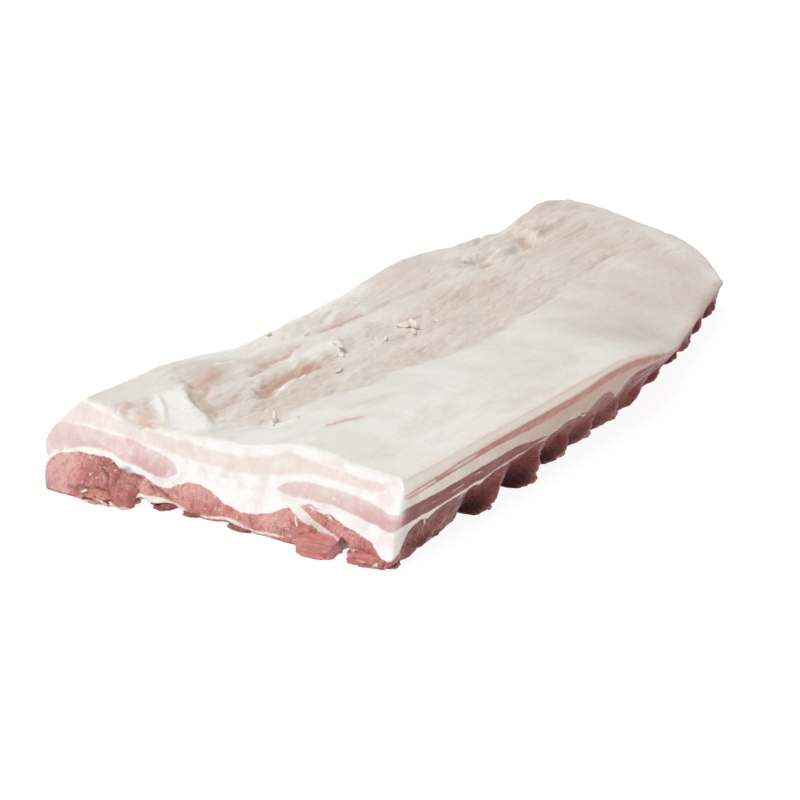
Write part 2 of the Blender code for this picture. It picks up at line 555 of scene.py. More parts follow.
PALE_STREAK = TissueLayer(
    top=LayerEdge(
        on_end_cut=(
            (0, 9.5), (9, 9.0), (12.5, 8.0), (15, 5.8), (20, 5.6), (30, 6.2), (45, 7.0), (60, 7.7), (70, 5.7),
            (80, 4.2), (90, 5.7), (110, 6.5), (120, 6.7), (150, 4.2), (170, 3.0), (189, 3.8), (209, 4.3),
            (219, 3.6), (230, 1.7), (250, 1.4),
        ),
        on_belly_cut=(
            (0, 10.2), (10, 9.8), (45, 8.4), (75, 7.6), (111, 7.6), (160, 7.8), (203, 7.6), (212, 6.5), (243, 5.6),
            (262, 4.4), (280, 3.0), (300, 1.8), (330, 1.4), (552, 1.4),
        ),
        on_back_side=((0, 2.0), (60, 5.0), (130, 4.0), (210, 6.5), (300, 5.5), (390, 7.5), (470, 6.0), (560, 7.0)),
    ),
    bottom=LayerEdge(
        on_end_cut=(
            (0, 8.5), (9, 8.5), (12.5, 8.2), (15, 10.2), (22, 11.2), (38, 12.9), (54, 14.4), (60, 15.2),
            (69, 16.6), (98, 16.6), (118, 16.0), (149, 13.6), (159, 12.2), (168, 11.1), (186, 11.8), (206, 11.8),
            (225, 13.5), (244, 16.0), (252, 17.0),
        ),
        on_belly_cut=(
            (0, 13.6), (10, 13.4), (45, 12.6), (75, 12.0), (100, 12.2), (111, 12.8), (203, 12.8), (212, 12.0),
            (243, 11.4), (262, 9.8), (280, 7.6), (300, 5.0), (330, 3.8), (552, 3.6),
        ),
        on_back_side=((0, 15.5), (60, 12.0), (130, 12.5), (210, 11.0), (300, 13.0), (390, 11.5), (470, 13.0), (560, 11)),
    ),
)

PINK_STREAK = TissueLayer(
    top=LayerEdge(
        on_end_cut=(
            (0, 19.9), (8, 20.8), (19, 18.2), (29, 16.9), (39, 17.2), (58, 19.9), (68, 20.4), (78, 21.5), (84, 24.2),
            (90, 30.0), (120, 32.0), (150, 30.0), (155.5, 23.5), (157, 20.5), (163, 15.7), (168, 14.2),
            (177, 12.7), (186, 12.4), (205, 13.1), (225, 14.2), (244, 16.6), (252, 18.0),
        ),
        on_belly_cut=(
            (0, 18.3), (23, 19.5), (95, 20.5), (128, 22.0), (137, 23.5), (155, 26.6), (163, 28.6), (170, 31.0),
            (190, 34.0), (552, 34.0),
        ),
        on_back_side=((0, 17.0), (40, 17.5), (110, 20.0), (190, 18.0), (290, 21.0), (380, 19.0), (470, 21.0), (560, 20)),
    ),
    bottom=LayerEdge(
        on_end_cut=(
            (0, 29.0), (7, 30.8), (17, 29.2), (27, 27.8), (38, 27.1), (48, 27.8), (57, 29.5), (67, 29.8), (77, 28.6),
            (83, 26.0), (90, 22.0), (120, 20.0), (150, 19.0), (155.5, 21.5), (157, 23.2), (161, 25.7),
            (167, 27.1), (174, 25.8), (182, 24.7), (191, 24.0), (200, 22.3), (220, 24.2), (228, 26.6), (236, 30.0),
            (243, 35.7), (252, 38.0),
        ),
        on_belly_cut=(
            (0, 29.3), (30, 29.6), (60, 29.4), (95, 29.4), (106, 28.3), (128, 28.9), (150, 28.6), (163, 28.7), (170, 28.0),
            (190, 26.0), (552, 26.0),
        ),
        on_back_side=((0, 33.0), (40, 27.0), (110, 25.5), (190, 27.0), (290, 26.0), (380, 27.5), (470, 25.0), (560, 26)),
    ),
)

LEAN_TOP = LayerEdge(
    on_end_cut=(
        (0, 45.0), (7, 46.5), (11, 46.0), (13, 44.0), (16, 40.8), (21, 37.8), (26, 36.8), (37, 34.7), (47, 33.2), (57, 32.7),
        (62, 32.5), (67, 34.5), (71, 35.6), (76, 36.0), (81, 37.3), (86, 38.8), (105, 38.8), (111, 38.5), (115, 36.9),
        (120, 35.3), (126, 32.7), (131, 30.0), (136, 28.2), (141, 26.8), (146, 26.8), (151, 27.8), (156, 29.4),
        (160, 31.8), (166, 32.3), (170, 31.0), (173, 29.2), (177, 28.1), (188, 29.2), (196, 26.4), (199, 25.2),
        (208, 25.7), (218, 27.0), (227, 28.6), (234, 30.6), (239, 32.6), (243, 35.0), (246, 38.0), (252, 42.0),
    ),
    on_belly_cut=(
        (0, 44.0), (3, 40.0), (8, 35.6), (19, 32.6), (24, 32.4), (27, 33.6), (30, 33.2), (34, 32.2), (56, 31.0),
        (64, 31.4), (78, 31.6), (84, 32.8), (87, 33.2), (90, 32.2), (96, 31.0), (107, 29.8), (118, 30.0), (124, 30.6),
        (128, 30.8), (131, 30.4), (138, 29.6), (154, 29.6), (159, 30.8), (162, 31.2), (166, 30.6), (171, 30.0),
        (180, 26.5), (193, 27.2), (199, 29.6), (204, 27.4), (209, 28.6), (213, 28.8), (217, 25.7), (236, 22.8),
        (245, 26.6), (250, 30.0), (252.5, 30.4), (256, 23.0), (266, 17.0), (272, 13.6), (280, 11.4), (292, 8.4),
        (305, 6.4), (350, 5.0), (450, 4.6), (552, 6.0),
    ),
    on_back_side=(
        (-20, 42.0), (0, 41.0), (14, 39.0), (40, 37.0), (75, 38.5), (110, 35.0), (150, 37.5), (190, 34.0), (235, 36.5),
        (280, 34.5), (330, 38.0), (375, 35.0), (420, 37.0), (470, 34.0), (520, 36.0), (560, 37.0),
    ),
    wave_mm=0.9,
)


@dataclass(frozen=True)
class Membrane:
    """A thin white sheet of connective tissue that a cut face shows as a line."""

    path: Path
    half_width_mm: float
    fade_mm: float = 0.0

    def inside(self, first: Array, depth_mm: Array) -> Array:
        """Gives how far inside the line a point of the face is, in mm, and below 0 outside it."""
        distance, _, share = self.path.closest(first, depth_mm)
        width = self.half_width_mm * (0.45 + 0.55 * np.sin(math.pi * np.clip(share, 0.04, 0.96)) ** 0.5)
        return width - distance


END_CUT_MEMBRANES = (
    Membrane(Path(((75, 33.2), (69, 37.0), (64, 40.0), (57, 43.0), (50, 43.5))), 3.0),
    Membrane(Path(((56, 42.8), (49, 43.4), (40, 44.2), (33, 45.8), (29, 48.5))), 1.5),
    Membrane(Path(((70, 32.6), (60, 33.8), (50, 34.2), (44, 36.0))), 0.8),
    Membrane(Path(((181, 36.5), (175, 38.6), (165, 40.0), (156, 41.4), (145, 44.6))), 2.0),
    Membrane(Path(((177, 38.0), (170, 41.0))), 2.4),
    Membrane(Path(((140, 44.8), (129, 45.0), (117, 43.6), (100, 48.6), (83, 51.4), (72, 52.0))), 1.0),
    Membrane(Path(((160, 43.4), (150, 44.4), (138, 45.4))), 1.6),
    Membrane(Path(((70, 40), (68.5, 45), (66, 47.5))), 0.6),
    Membrane(Path(((30, 46.2), (21, 46.0), (12, 49.0))), 0.5),
    Membrane(Path(((239, 31.0), (243, 33.6), (246, 37.0), (248, 41.0))), 1.4),
)

# Seams between muscles on the end cut: sunk into creases, and darkened there with painted shade.
END_CUT_SEAMS = (
    Path(((187, 27.5), (191, 28.6), (193, 33.0), (193.5, 38.0), (190, 42))),
    Path(((192, 28.6), (184, 29.4), (178, 30.4))),
    Path(((225, 46.5), (218, 45.4), (211, 44.4), (203, 41.8), (198, 41.0))),
    Path(((205, 31.0), (199, 35.0), (197, 40.0))),
    Path(((171, 33.0), (165, 34.6), (160, 37.0))),
    Path(((199, 46.0), (195, 41.0), (186, 38.0), (178, 39.5), (174, 43.5))),
)

BELLY_CUT_MEMBRANES = (
    Membrane(Path(((25, 31), (26, 35), (25.6, 40))), 0.7),
    Membrane(Path(((86, 31), (87, 35), (85.5, 39))), 0.6),
    Membrane(Path(((127.5, 29.5), (127, 33.5), (125.5, 36))), 0.5),
    Membrane(Path(((162, 31), (161, 35), (159, 38))), 0.6),
    Membrane(Path(((112, 30.0), (122, 29.8), (140, 29.3), (160, 28.4), (180, 26.0), (198, 24.4))), 0.45),
    Membrane(Path(((60, 32.8), (72, 31.4), (84, 31.2), (96, 30.2))), 0.8),
    Membrane(Path(((198, 25), (206, 29.5), (214, 31.5))), 0.5),
    Membrane(Path(((252, 20), (252.5, 29.5))), 0.7),
    Membrane(Path(((70, 22.6), (90, 24.2), (112, 24.4))), 0.25),
    Membrane(Path(((20, 24.6), (44, 25.4), (64, 25.0))), 0.22),
)


# ---------------------------------------------------------------------------------------------------------------
# Marks on the top fat
# ---------------------------------------------------------------------------------------------------------------


class MarkKind(Enum):
    """How a mark changes the fat beside its line."""

    LINE = "a ridge or a groove along the line"
    STEP = "an edge with raised fat on the line's left"


class Tint(Enum):
    """What a mark tints the fat with: pink lean showing through, brown stain and painted shade, or whiter fat."""

    NONE = -1
    PINK = 0
    # Brown: stain on flat patches, painted shade in grooves, pits and beside the lip.
    BROWN_AND_SHADE = 1
    WHITE = 2


@dataclass(frozen=True)
class Mark:
    """One mark on the top fat, left by the knife, the pulled skin or a gland."""

    path: Knots
    width_mm: float
    rise_mm: float = 0.0
    tint: Tint = Tint.NONE
    strength: float = 0.0
    kind: MarkKind = MarkKind.LINE
    reach_mm: float = 12.0
    second_tint: Tint = Tint.NONE
    second_strength: float = 0.0

    RELIEF: ClassVar[float] = 1.2

    def apply(self, along: Array, across: Array, wander: Array, rise: Array, tints: Array) -> None:
        """Adds the mark's relief and tint.

        Args:
            along: Place of each vertex along the slab, in mm.
            across: Place of each vertex across the slab, in mm.
            wander: Noise from -1 to 1 that frays the mark.
            rise: Relief in mm, changed in place.
            tints: Strength of each tint, one row each, changed in place.
        """
        line = np.array(self.path, float)
        margin = 3.5 * max(self.width_mm, self.reach_mm if self.kind is MarkKind.STEP else 0.0)
        near = (along > line[:, 0].min() - margin) & (along < line[:, 0].max() + margin)
        near &= (across > line[:, 1].min() - margin) & (across < line[:, 1].max() + margin)
        if not near.any():
            return
        distance, side, share = Path(self.path).closest(along[near], across[near])
        ends = smoothstep(0.0, 0.18, share) * smoothstep(0.0, 0.18, 1.0 - share)
        ends = np.where(len(self.path) > 1, 0.25 + 0.75 * ends, 1.0)
        frayed = distance * (1.0 + 0.85 * wander[near])
        profile = np.exp(-((frayed / self.width_mm) ** 2)) * ends
        if self.kind is MarkKind.STEP:
            signed = distance * side + 0.8 * wander[near]
            edge = smoothstep(-0.5 * self.width_mm, 0.5 * self.width_mm, signed)
            rise[near] += self.RELIEF * self.rise_mm * edge * np.exp(-distance / self.reach_mm) * ends
        else:
            rise[near] += self.RELIEF * self.rise_mm * profile
        for tint, strength in ((self.tint, self.strength), (self.second_tint, self.second_strength)):
            if tint is not Tint.NONE:
                tints[tint.value, near] = np.maximum(tints[tint.value, near], strength * profile)


def groove(path: Knots, width_mm: float, depth_mm: float, brown_and_shade: float = 0.0, pink: float = 0.0) -> Mark:
    """Makes a groove, with painted brown shade in it and pink lean showing in it."""
    return Mark(path, width_mm, -depth_mm, Tint.BROWN_AND_SHADE, brown_and_shade, second_tint=Tint.PINK, second_strength=pink)


def ridge(path: Knots, width_mm: float, rise_mm: float, white: float = 0.0) -> Mark:
    """Makes a ridge of cleaner, whiter fat."""
    return Mark(path, width_mm, rise_mm, Tint.WHITE, white)


def patch(path: Knots, width_mm: float, pink: float = 0.0, brown_and_shade: float = 0.0) -> Mark:
    """Makes a flat patch of colour."""
    return Mark(path, width_mm, 0.0, Tint.PINK, pink, second_tint=Tint.BROWN_AND_SHADE, second_strength=brown_and_shade)


def step(path: Knots, width_mm: float, rise_mm: float, reach_mm: float) -> Mark:
    """Makes the edge of a pad that is raised on the left of its path."""
    return Mark(path, width_mm, rise_mm, kind=MarkKind.STEP, reach_mm=reach_mm)


# The brown tint of each mark is painted shade in grooves, pits and beside steps, and brown stain on flat patches.
TOP_MARKS = (
    # The pad beside the end cut, its lip, and the shade beyond it.
    step(((13, 143), (22, 152), (32, 162), (37, 174), (47, 189), (57, 197), (63, 209)), 8.0, 2.8, 20.0),
    groove(((37, 158), (42, 168), (51, 184), (60, 194)), 6.0, 1.4, brown_and_shade=0.95),
    groove(((35, 161), (39, 171), (48, 186), (57, 196)), 2.0, 0.8, brown_and_shade=0.8),
    ridge(((30, 163), (34, 174), (44, 190), (52, 199)), 2.6, 0.7, white=1.0),
    Mark(((6, 146), (20, 168), (34, 190), (42, 206)), 15.0, 0.0, Tint.WHITE, 1.0),
    Mark(((-10, 192), (7, 192)), 13.0, -4.5),
    groove(((22, 149), (31, 156), (38, 163)), 3.5, 0.8, brown_and_shade=0.35),
    patch(((2, 203), (11, 205), (18, 206)), 7.5, pink=0.70, brown_and_shade=0.15),
    patch(((12, 199), (6, 190), (1, 179), (-4, 172)), 7.5, pink=0.62, brown_and_shade=0.5),
    patch(((8, 190), (14, 200)), 14.0, pink=0.40, brown_and_shade=0.30),
    patch(((29, 207), (20, 200), (12, 190), (3, 178)), 5.0, pink=0.55, brown_and_shade=0.5),
    ridge(((34, 203), (27, 195), (17, 184), (8, 175)), 1.8, 1.3, white=1.0),
    ridge(((30, 198), (24, 189), (16, 181)), 1.0, 0.9, white=1.0),
    patch(((52, 188), (72, 196), (98, 203)), 15.0, pink=0.55, brown_and_shade=0.45),
    patch(((56, 189), (70, 195), (88, 197)), 10.0, pink=0.72, brown_and_shade=0.45),
    patch(((70, 186), (84, 188), (94, 187)), 4.0, pink=0.45, brown_and_shade=0.3),
    ridge(((92, 206), (103, 206), (112, 203)), 2.2, 0.7, white=0.9),
    patch(((56, 189), (66, 191)), 5.0, pink=0.35, brown_and_shade=0.5),
    groove(((57, 188), (62, 187), (69, 189)), 1.2, 0.9, brown_and_shade=0.7),
    ridge(((90, 190), (99, 192), (107, 189)), 1.8, 0.7, white=0.7),
    # Wrinkles that sweep from the lip into the hollow.
    groove(((33, 158), (38, 149), (51, 145), (66, 143), (84, 146)), 2.2, 2.0, brown_and_shade=0.42),
    groove(((33, 152), (41, 142), (57, 136), (76, 134), (96, 137)), 2.0, 1.9, brown_and_shade=0.38),
    groove(((17, 143), (28, 139), (38, 129), (52, 124)), 2.0, 1.9, brown_and_shade=0.4),
    groove(((12, 138), (22, 130), (33, 120), (50, 114)), 1.8, 1.0, brown_and_shade=0.2),
    groove(((51, 177), (66, 178), (78, 175), (92, 176)), 2.2, 2.0, brown_and_shade=0.4),
    groove(((48, 168), (62, 168), (76, 166)), 2.0, 1.8, brown_and_shade=0.35),
    ridge(((45, 155), (60, 152), (80, 153)), 2.8, 1.1, white=0.35),
    ridge(((42, 147), (58, 141), (78, 140)), 2.4, 0.9, white=0.3),
    ridge(((36, 117), (45, 113), (53, 111)), 2.4, 0.9, white=1.0),
    ridge(((38, 122), (43, 120), (49, 119)), 2.0, 0.7, white=0.9),
    groove(((28, 118), (40, 110), (58, 108)), 1.3, 0.7, brown_and_shade=0.25),
    patch(((8, 128), (6, 122)), 2.6, pink=0.55),
    patch(((35, 107), (39, 104)), 2.2, pink=0.5),
    patch(((33, 80), (40, 77), (46, 75), (52, 71), (60, 67)), 3.2, pink=0.85),
    ridge(((30, 84), (40, 81), (52, 76)), 1.4, 0.5, white=0.5),
    # The long pink groove and the tongue of fat beside it.
    groove(((76, 156), (88, 162), (102, 167), (121, 169), (138, 164), (149, 157)), 6.5, 2.8, brown_and_shade=1.0, pink=0.78),
    groove(((74, 155), (80, 159), (88, 163)), 2.4, 1.4, brown_and_shade=1.2),
    groove(((84, 165), (100, 171), (121, 173), (138, 169)), 1.6, 0.9, brown_and_shade=0.8),
    ridge(((80, 151), (95, 156), (111, 159), (128, 160)), 2.2, 1.2, white=1.0),
    step(((226, 175), (210, 184), (187, 187), (162, 187), (147, 186), (137, 181), (131, 173)), 2.0, 3.0, 16.0),
    step(((129, 171), (136, 166), (146, 161), (156, 156)), 2.0, 2.4, 14.0),
    Mark(((138, 173), (160, 176), (185, 178)), 8.0, 0.0, Tint.WHITE, 0.7),
    groove(((112, 190), (128, 191), (148, 190), (159, 191), (172, 191)), 4.2, 1.7, brown_and_shade=0.5, pink=0.75),
    patch(((133, 191), (143, 190), (152, 190)), 2.8, pink=0.95),
    groove(((98, 184), (113, 187), (124, 186), (136, 184)), 3.2, 1.4, brown_and_shade=0.5, pink=0.6),
    groove(((182, 197), (199, 196), (210, 194), (222, 194), (238, 191)), 3.6, 1.6, brown_and_shade=0.5, pink=0.75),
    patch(((200, 196), (214, 194)), 2.6, pink=0.95),
    groove(((236, 191), (250, 192), (268, 191)), 1.8, 0.9, brown_and_shade=0.35, pink=0.3),
    patch(((104, 198), (128, 198), (154, 196)), 8.0, pink=0.40, brown_and_shade=0.15),
    patch(((128, 214), (148, 212), (170, 208)), 6.0, pink=0.2, brown_and_shade=0.12),
    ridge(((173, 199), (178, 197)), 1.6, 1.2, white=0.9),
    groove(((200, 203), (212, 208), (227, 212)), 1.4, 1.4, brown_and_shade=0.5),
    ridge(((205, 199), (214, 203), (226, 205)), 3.0, 1.3, white=0.6),
    ridge(((183, 178), (177, 174), (171, 169), (163, 160)), 1.9, 2.2, white=0.8),
    groove(((179, 170), (188, 170), (196, 172)), 3.5, 0.9, brown_and_shade=0.15, pink=0.35),
    ridge(((136, 145), (141, 145)), 1.6, 1.2, white=0.8),
    # The rough hollow's border on the belly side.
    step(
        (
            (350, 106), (330, 101), (309, 97), (288, 95), (253, 97), (234, 97), (209, 96), (185, 95), (161, 97),
            (147, 104), (118, 100), (111, 108), (98, 115),
        ),
        1.8, 1.3, 9.0,
    ),
    ridge(((250, 95), (288, 93), (309, 95), (350, 103)), 1.0, 0.5, white=0.35),
    groove(((160, 101), (185, 99), (209, 100), (250, 100), (300, 100), (345, 108)), 1.1, 0.6, brown_and_shade=0.35),
    groove(((120, 122), (150, 118), (190, 114), (225, 113)), 1.5, 0.7, brown_and_shade=0.12),
    groove(((150, 132), (185, 130), (215, 128)), 1.5, 0.7, brown_and_shade=0.12),
    # The torn tag's root, and the folds beyond it.
    groove(((236, 165), (246, 163), (258, 161)), 2.2, 1.5, brown_and_shade=0.9),
    groove(((222, 150), (212, 150), (205, 152)), 2.0, 1.2, brown_and_shade=0.75),
    groove(((262, 156), (270, 155), (276, 155)), 2.2, 1.1, brown_and_shade=0.6),
    ridge(((262, 163), (295, 162), (330, 158), (352, 152)), 6.5, 1.6, white=0.0),
    patch(((250, 160), (280, 158), (310, 157), (340, 152)), 8.0, pink=0.22, brown_and_shade=0.3),
    groove(((272, 191), (296, 186), (324, 183), (346, 179), (366, 181)), 2.4, 1.3, brown_and_shade=0.3),
    groove(((285, 175), (310, 172), (335, 168), (352, 166)), 2.2, 1.0, brown_and_shade=0.2),
    patch(((340, 197), (354, 196), (370, 194)), 3.6, pink=0.62, brown_and_shade=0.25),
    # Two pits left by glands, and the channel between them.
    groove(((366, 191), (376, 188), (390, 189)), 7.0, 4.2, brown_and_shade=0.75),
    groove(((372, 180), (384, 179), (397, 183)), 2.4, 1.6, brown_and_shade=0.8),
    ridge(((362, 176), (380, 173), (400, 176)), 6.0, 1.8, white=0.2),
    ridge(((398, 194), (412, 193), (422, 196)), 8.0, 2.0, white=0.3),
    groove(((428, 186), (436, 189), (440, 198)), 5.0, 4.2, brown_and_shade=0.85),
    groove(((340, 190), (352, 189), (366, 190)), 2.6, 1.2, brown_and_shade=0.4, pink=0.5),
    groove(((398, 186), (411, 183), (424, 186)), 3.0, 1.5, brown_and_shade=0.4, pink=0.15),
    ridge(((448, 184), (449, 196), (444, 207)), 5.0, 2.6, white=0.3),
    # Creases towards the flank end.
    groove(((356, 137), (371, 129), (398, 119), (429, 122), (451, 121), (471, 111), (490, 108)), 1.8, 1.7, brown_and_shade=0.42),
    ridge(((372, 124), (398, 114), (429, 117), (451, 116), (468, 107)), 3.2, 0.9, white=0.2),
    groove(((408, 137), (428, 136), (448, 131)), 2.0, 0.9, brown_and_shade=0.2),
    groove(((455, 170), (478, 169), (497, 170)), 2.0, 1.6, brown_and_shade=0.55),
    groove(((470, 158), (492, 159), (512, 160)), 1.8, 0.9, brown_and_shade=0.25),
    ridge(((449, 178), (455, 178)), 2.0, 0.9, white=0.6),
    groove(((364, 106), (372, 106), (378, 101), (377, 96)), 1.4, 0.9, brown_and_shade=0.25),
    groove(((243, 89), (250, 86), (256, 83)), 1.6, 0.7, brown_and_shade=0.25),
    patch(((472, 114), (483, 110), (496, 105)), 2.2, pink=0.55, brown_and_shade=0.2),
    groove(((476, 97), (490, 98), (504, 96)), 1.3, 0.7, brown_and_shade=0.25),
    groove(((503, 85), (508, 81), (512, 76)), 1.3, 0.7, brown_and_shade=0.25),
    groove(((520, 120), (530, 124), (538, 131)), 1.3, 0.7, brown_and_shade=0.2),
    patch(((450, 66), (457, 68)), 4.5, pink=0.15, brown_and_shade=0.35),
    patch(((448, 53), (455, 50)), 3.5, pink=0.12, brown_and_shade=0.3),
    ridge(((257, 3.5), (267, 4.5), (279, 5)), 0.9, 0.4, white=0.9),
    patch(((330, 42), (345, 30), (352, 18)), 13.0, pink=0.05, brown_and_shade=0.34),
    patch(((272, 42), (300, 36), (330, 30)), 13.0, pink=0.16, brown_and_shade=0.22),
    # Brown along the drooping belly edge: partly stain, partly painted shade of the droop.
    patch(((400, 14), (440, 24), (480, 40), (505, 55)), 22.0, brown_and_shade=0.55),
    Mark(((60, 224), (140, 224), (220, 222), (300, 216)), 12.0, 0.0, Tint.WHITE, 0.8),
    patch(((40, 20), (90, 14), (150, 10)), 9.0, pink=0.10, brown_and_shade=0.10),
)

HOLLOW_BORDER: Knots = ((0, 122), (60, 118), (98, 115), (118, 102), (147, 105), (161, 98), (309, 98), (350, 106), (400, 122))


# ---------------------------------------------------------------------------------------------------------------
# Finishes
# ---------------------------------------------------------------------------------------------------------------


def srgb(red: int, green: int, blue: int) -> Paint:
    """Turns a colour as seen on a screen into the linear one that shaders take."""
    linear = [(v / 255.0 / 12.92) if v <= 10 else ((v / 255.0 + 0.055) / 1.055) ** 2.4 for v in (red, green, blue)]
    return (*linear, 1.0)


class Graph:
    """A material's nodes, added one by one and wired as they are made."""

    def __init__(self, name: str) -> None:
        """Starts a material with one shader.

        Args:
            name: The material's name.
        """
        self.material = bpy.data.materials.new(name)
        self.material.use_nodes = True
        self.nodes = self.material.node_tree.nodes
        self.links = self.material.node_tree.links
        self.shader = self.nodes["Principled BSDF"]
        self.place = self.node("ShaderNodeTexCoord").outputs["Object"]

    def node(self, kind: str, **settings: object) -> bpy.types.Node:
        """Adds a node of a kind and sets its options."""
        made = self.nodes.new(kind)
        for name, value in settings.items():
            setattr(made, name, value)
        return made

    def feed(self, socket: bpy.types.NodeSocket, value: object) -> None:
        """Wires a socket, or sets it where the value is a plain number or colour."""
        if isinstance(value, bpy.types.NodeSocket):
            self.links.new(value, socket)
        else:
            socket.default_value = value

    def math(self, operation: str, *values: object) -> bpy.types.NodeSocket:
        """Adds a Math node on one to three values."""
        made = self.node("ShaderNodeMath", operation=operation)
        for socket, value in zip(made.inputs, values):
            self.feed(socket, value)
        return made.outputs[0]

    def ease(self, value: object, start: float, end: float, low: float = 0.0, high: float = 1.0) -> bpy.types.NodeSocket:
        """Eases a value from low at start to high at end."""
        made = self.node("ShaderNodeMapRange", interpolation_type="SMOOTHSTEP")
        for socket, given in zip(made.inputs, (value, start, end, low, high)):
            self.feed(socket, given)
        return made.outputs[0]

    def mix(self, share: object, first: object, second: object) -> bpy.types.NodeSocket:
        """Mixes two colours by a share."""
        made = self.node("ShaderNodeMix", data_type="RGBA")
        colours = [socket for socket in made.inputs if socket.type == "RGBA"]
        self.feed(made.inputs[0], share)
        self.feed(colours[0], first)
        self.feed(colours[1], second)
        return next(socket for socket in made.outputs if socket.type == "RGBA")

    def stretch(self, sizes: Triple, turn: float = 0.0) -> bpy.types.NodeSocket:
        """Gives coordinates in which a pattern is stretched along each axis, and turned about the upright one."""
        made = self.node("ShaderNodeMapping")
        self.feed(made.inputs["Vector"], self.place)
        self.feed(made.inputs["Scale"], sizes)
        self.feed(made.inputs["Rotation"], (0.0, 0.0, turn))
        return made.outputs[0]

    def noise(self, scale: float, detail: float = 2.0, place: object = None, roughness: float = 0.5) -> bpy.types.NodeSocket:
        """Adds a noise texture of about 0 to 1."""
        made = self.node("ShaderNodeTexNoise")
        self.feed(made.inputs["Vector"], self.place if place is None else place)
        self.feed(made.inputs["Scale"], scale)
        self.feed(made.inputs["Detail"], detail)
        self.feed(made.inputs["Roughness"], roughness)
        return made.outputs[0]

    def cells(self, scale: float, place: object, feature: str = "DISTANCE_TO_EDGE") -> bpy.types.NodeSocket:
        """Adds a cell texture: the distance to the nearest cell's edge, or to its middle."""
        made = self.node("ShaderNodeTexVoronoi", feature=feature)
        self.feed(made.inputs["Vector"], place)
        self.feed(made.inputs["Scale"], scale)
        return made.outputs["Distance"]

    def measures(self, name: str) -> tuple[bpy.types.NodeSocket, bpy.types.NodeSocket, bpy.types.NodeSocket]:
        """Reads the three measures of one of the mesh's attributes."""
        attribute = self.node("ShaderNodeAttribute", attribute_name=name)
        split = self.node("ShaderNodeSeparateXYZ")
        self.feed(split.inputs[0], attribute.outputs["Vector"])
        return split.outputs[0], split.outputs[1], split.outputs[2]

    def bump(self, height: object, distance: float, strength: float = 1.0) -> None:
        """Raises the surface by a height pattern."""
        made = self.node("ShaderNodeBump")
        self.feed(made.inputs["Height"], height)
        self.feed(made.inputs["Distance"], distance)
        self.feed(made.inputs["Strength"], strength)
        self.feed(self.shader.inputs["Normal"], made.outputs[0])


@dataclass(frozen=True)
class FatColours:
    """How the fat looks, from clean cut fat to the beige fat of the top, with darker belly cut fat that is partly
    painted shade.
    """

    cut: Paint = srgb(247, 244, 242)
    cut_shade: Paint = srgb(236, 225, 220)
    # Belly cut fat, darker than the end cut's: partly its own warmer tone, partly painted shade, as the belly cut faces
    # away from the key light. The far belly colour also carries a painted fall-off of the light towards the flank end.
    belly_cut: Paint = srgb(240, 230, 218)
    belly_shade: Paint = srgb(226, 210, 196)
    belly_far: Paint = srgb(184, 154, 138)
    belly_rim: Paint = srgb(250, 239, 227)
    top: Paint = srgb(245, 242, 236)
    top_grey: Paint = srgb(236, 233, 225)
    # Beige fat, laid on more towards the flank end: partly the fat's own tone, partly painted fall-off of the light.
    top_beige: Paint = srgb(219, 205, 193)
    hollow: Paint = srgb(222, 211, 199)
    pink: Paint = srgb(212, 166, 152)
    raw_pink: Paint = srgb(222, 158, 146)
    # Brown: stain on the top's patches and painted shade in its grooves.
    brown_and_shade: Paint = srgb(192, 166, 145)
    white: Paint = srgb(253, 250, 245)
    membrane: Paint = srgb(246, 239, 232)


@dataclass(frozen=True)
class LeanColours:
    """How the lean looks, from a pale streak to deep red muscle, with darker belly cut lean and the dark colours of
    painted shade in cavities and seams.
    """

    pale: Paint = srgb(236, 227, 221)
    pale_warm: Paint = srgb(232, 218, 211)
    pink: Paint = srgb(231, 213, 209)
    pink_warm: Paint = srgb(224, 199, 195)
    rosy: Paint = srgb(211, 170, 166)
    light: Paint = srgb(226, 180, 174)
    red_light: Paint = srgb(213, 146, 140)
    red: Paint = srgb(192, 106, 102)
    red_deep: Paint = srgb(146, 56, 56)
    # The dark colour of the painted shade in the creases along the end cut's seams.
    seam_shade: Paint = srgb(118, 50, 46)
    # Belly cut lean: darker copies of the muscle, partly its look cut along the grain, partly painted shade.
    belly_rose: Paint = srgb(106, 36, 28)
    belly_light: Paint = srgb(134, 60, 49)
    belly_pink: Paint = srgb(186, 117, 106)
    belly_red: Paint = srgb(116, 39, 31)
    # The dark colour of the painted shade in the finger recesses and on the underside.
    cavity_shade: Paint = srgb(60, 24, 22)
    marbling: Paint = srgb(238, 212, 200)
    fleck: Paint = srgb(244, 224, 208)


@dataclass(frozen=True)
class MeatGloss:
    """How meat takes light: its moisture and how far light goes into it."""

    fat_roughness: float = 0.50
    lean_roughness: float = 0.34
    specular: float = 0.45
    scatter: float = 0.22
    scatter_reach: Triple = (0.0060, 0.0028, 0.0018)

    def set(self, shader: bpy.types.Node, scatter: float | None = None) -> None:
        """Sets the shader's plain numbers.

        Args:
            shader: The Principled shader.
            scatter: How much light goes in, where a piece differs from the slab.
        """
        shader.inputs["Specular IOR Level"].default_value = self.specular
        shader.inputs["Subsurface Weight"].default_value = self.scatter if scatter is None else scatter
        shader.inputs["Subsurface Radius"].default_value = self.scatter_reach
        shader.inputs["Subsurface Scale"].default_value = 1.0


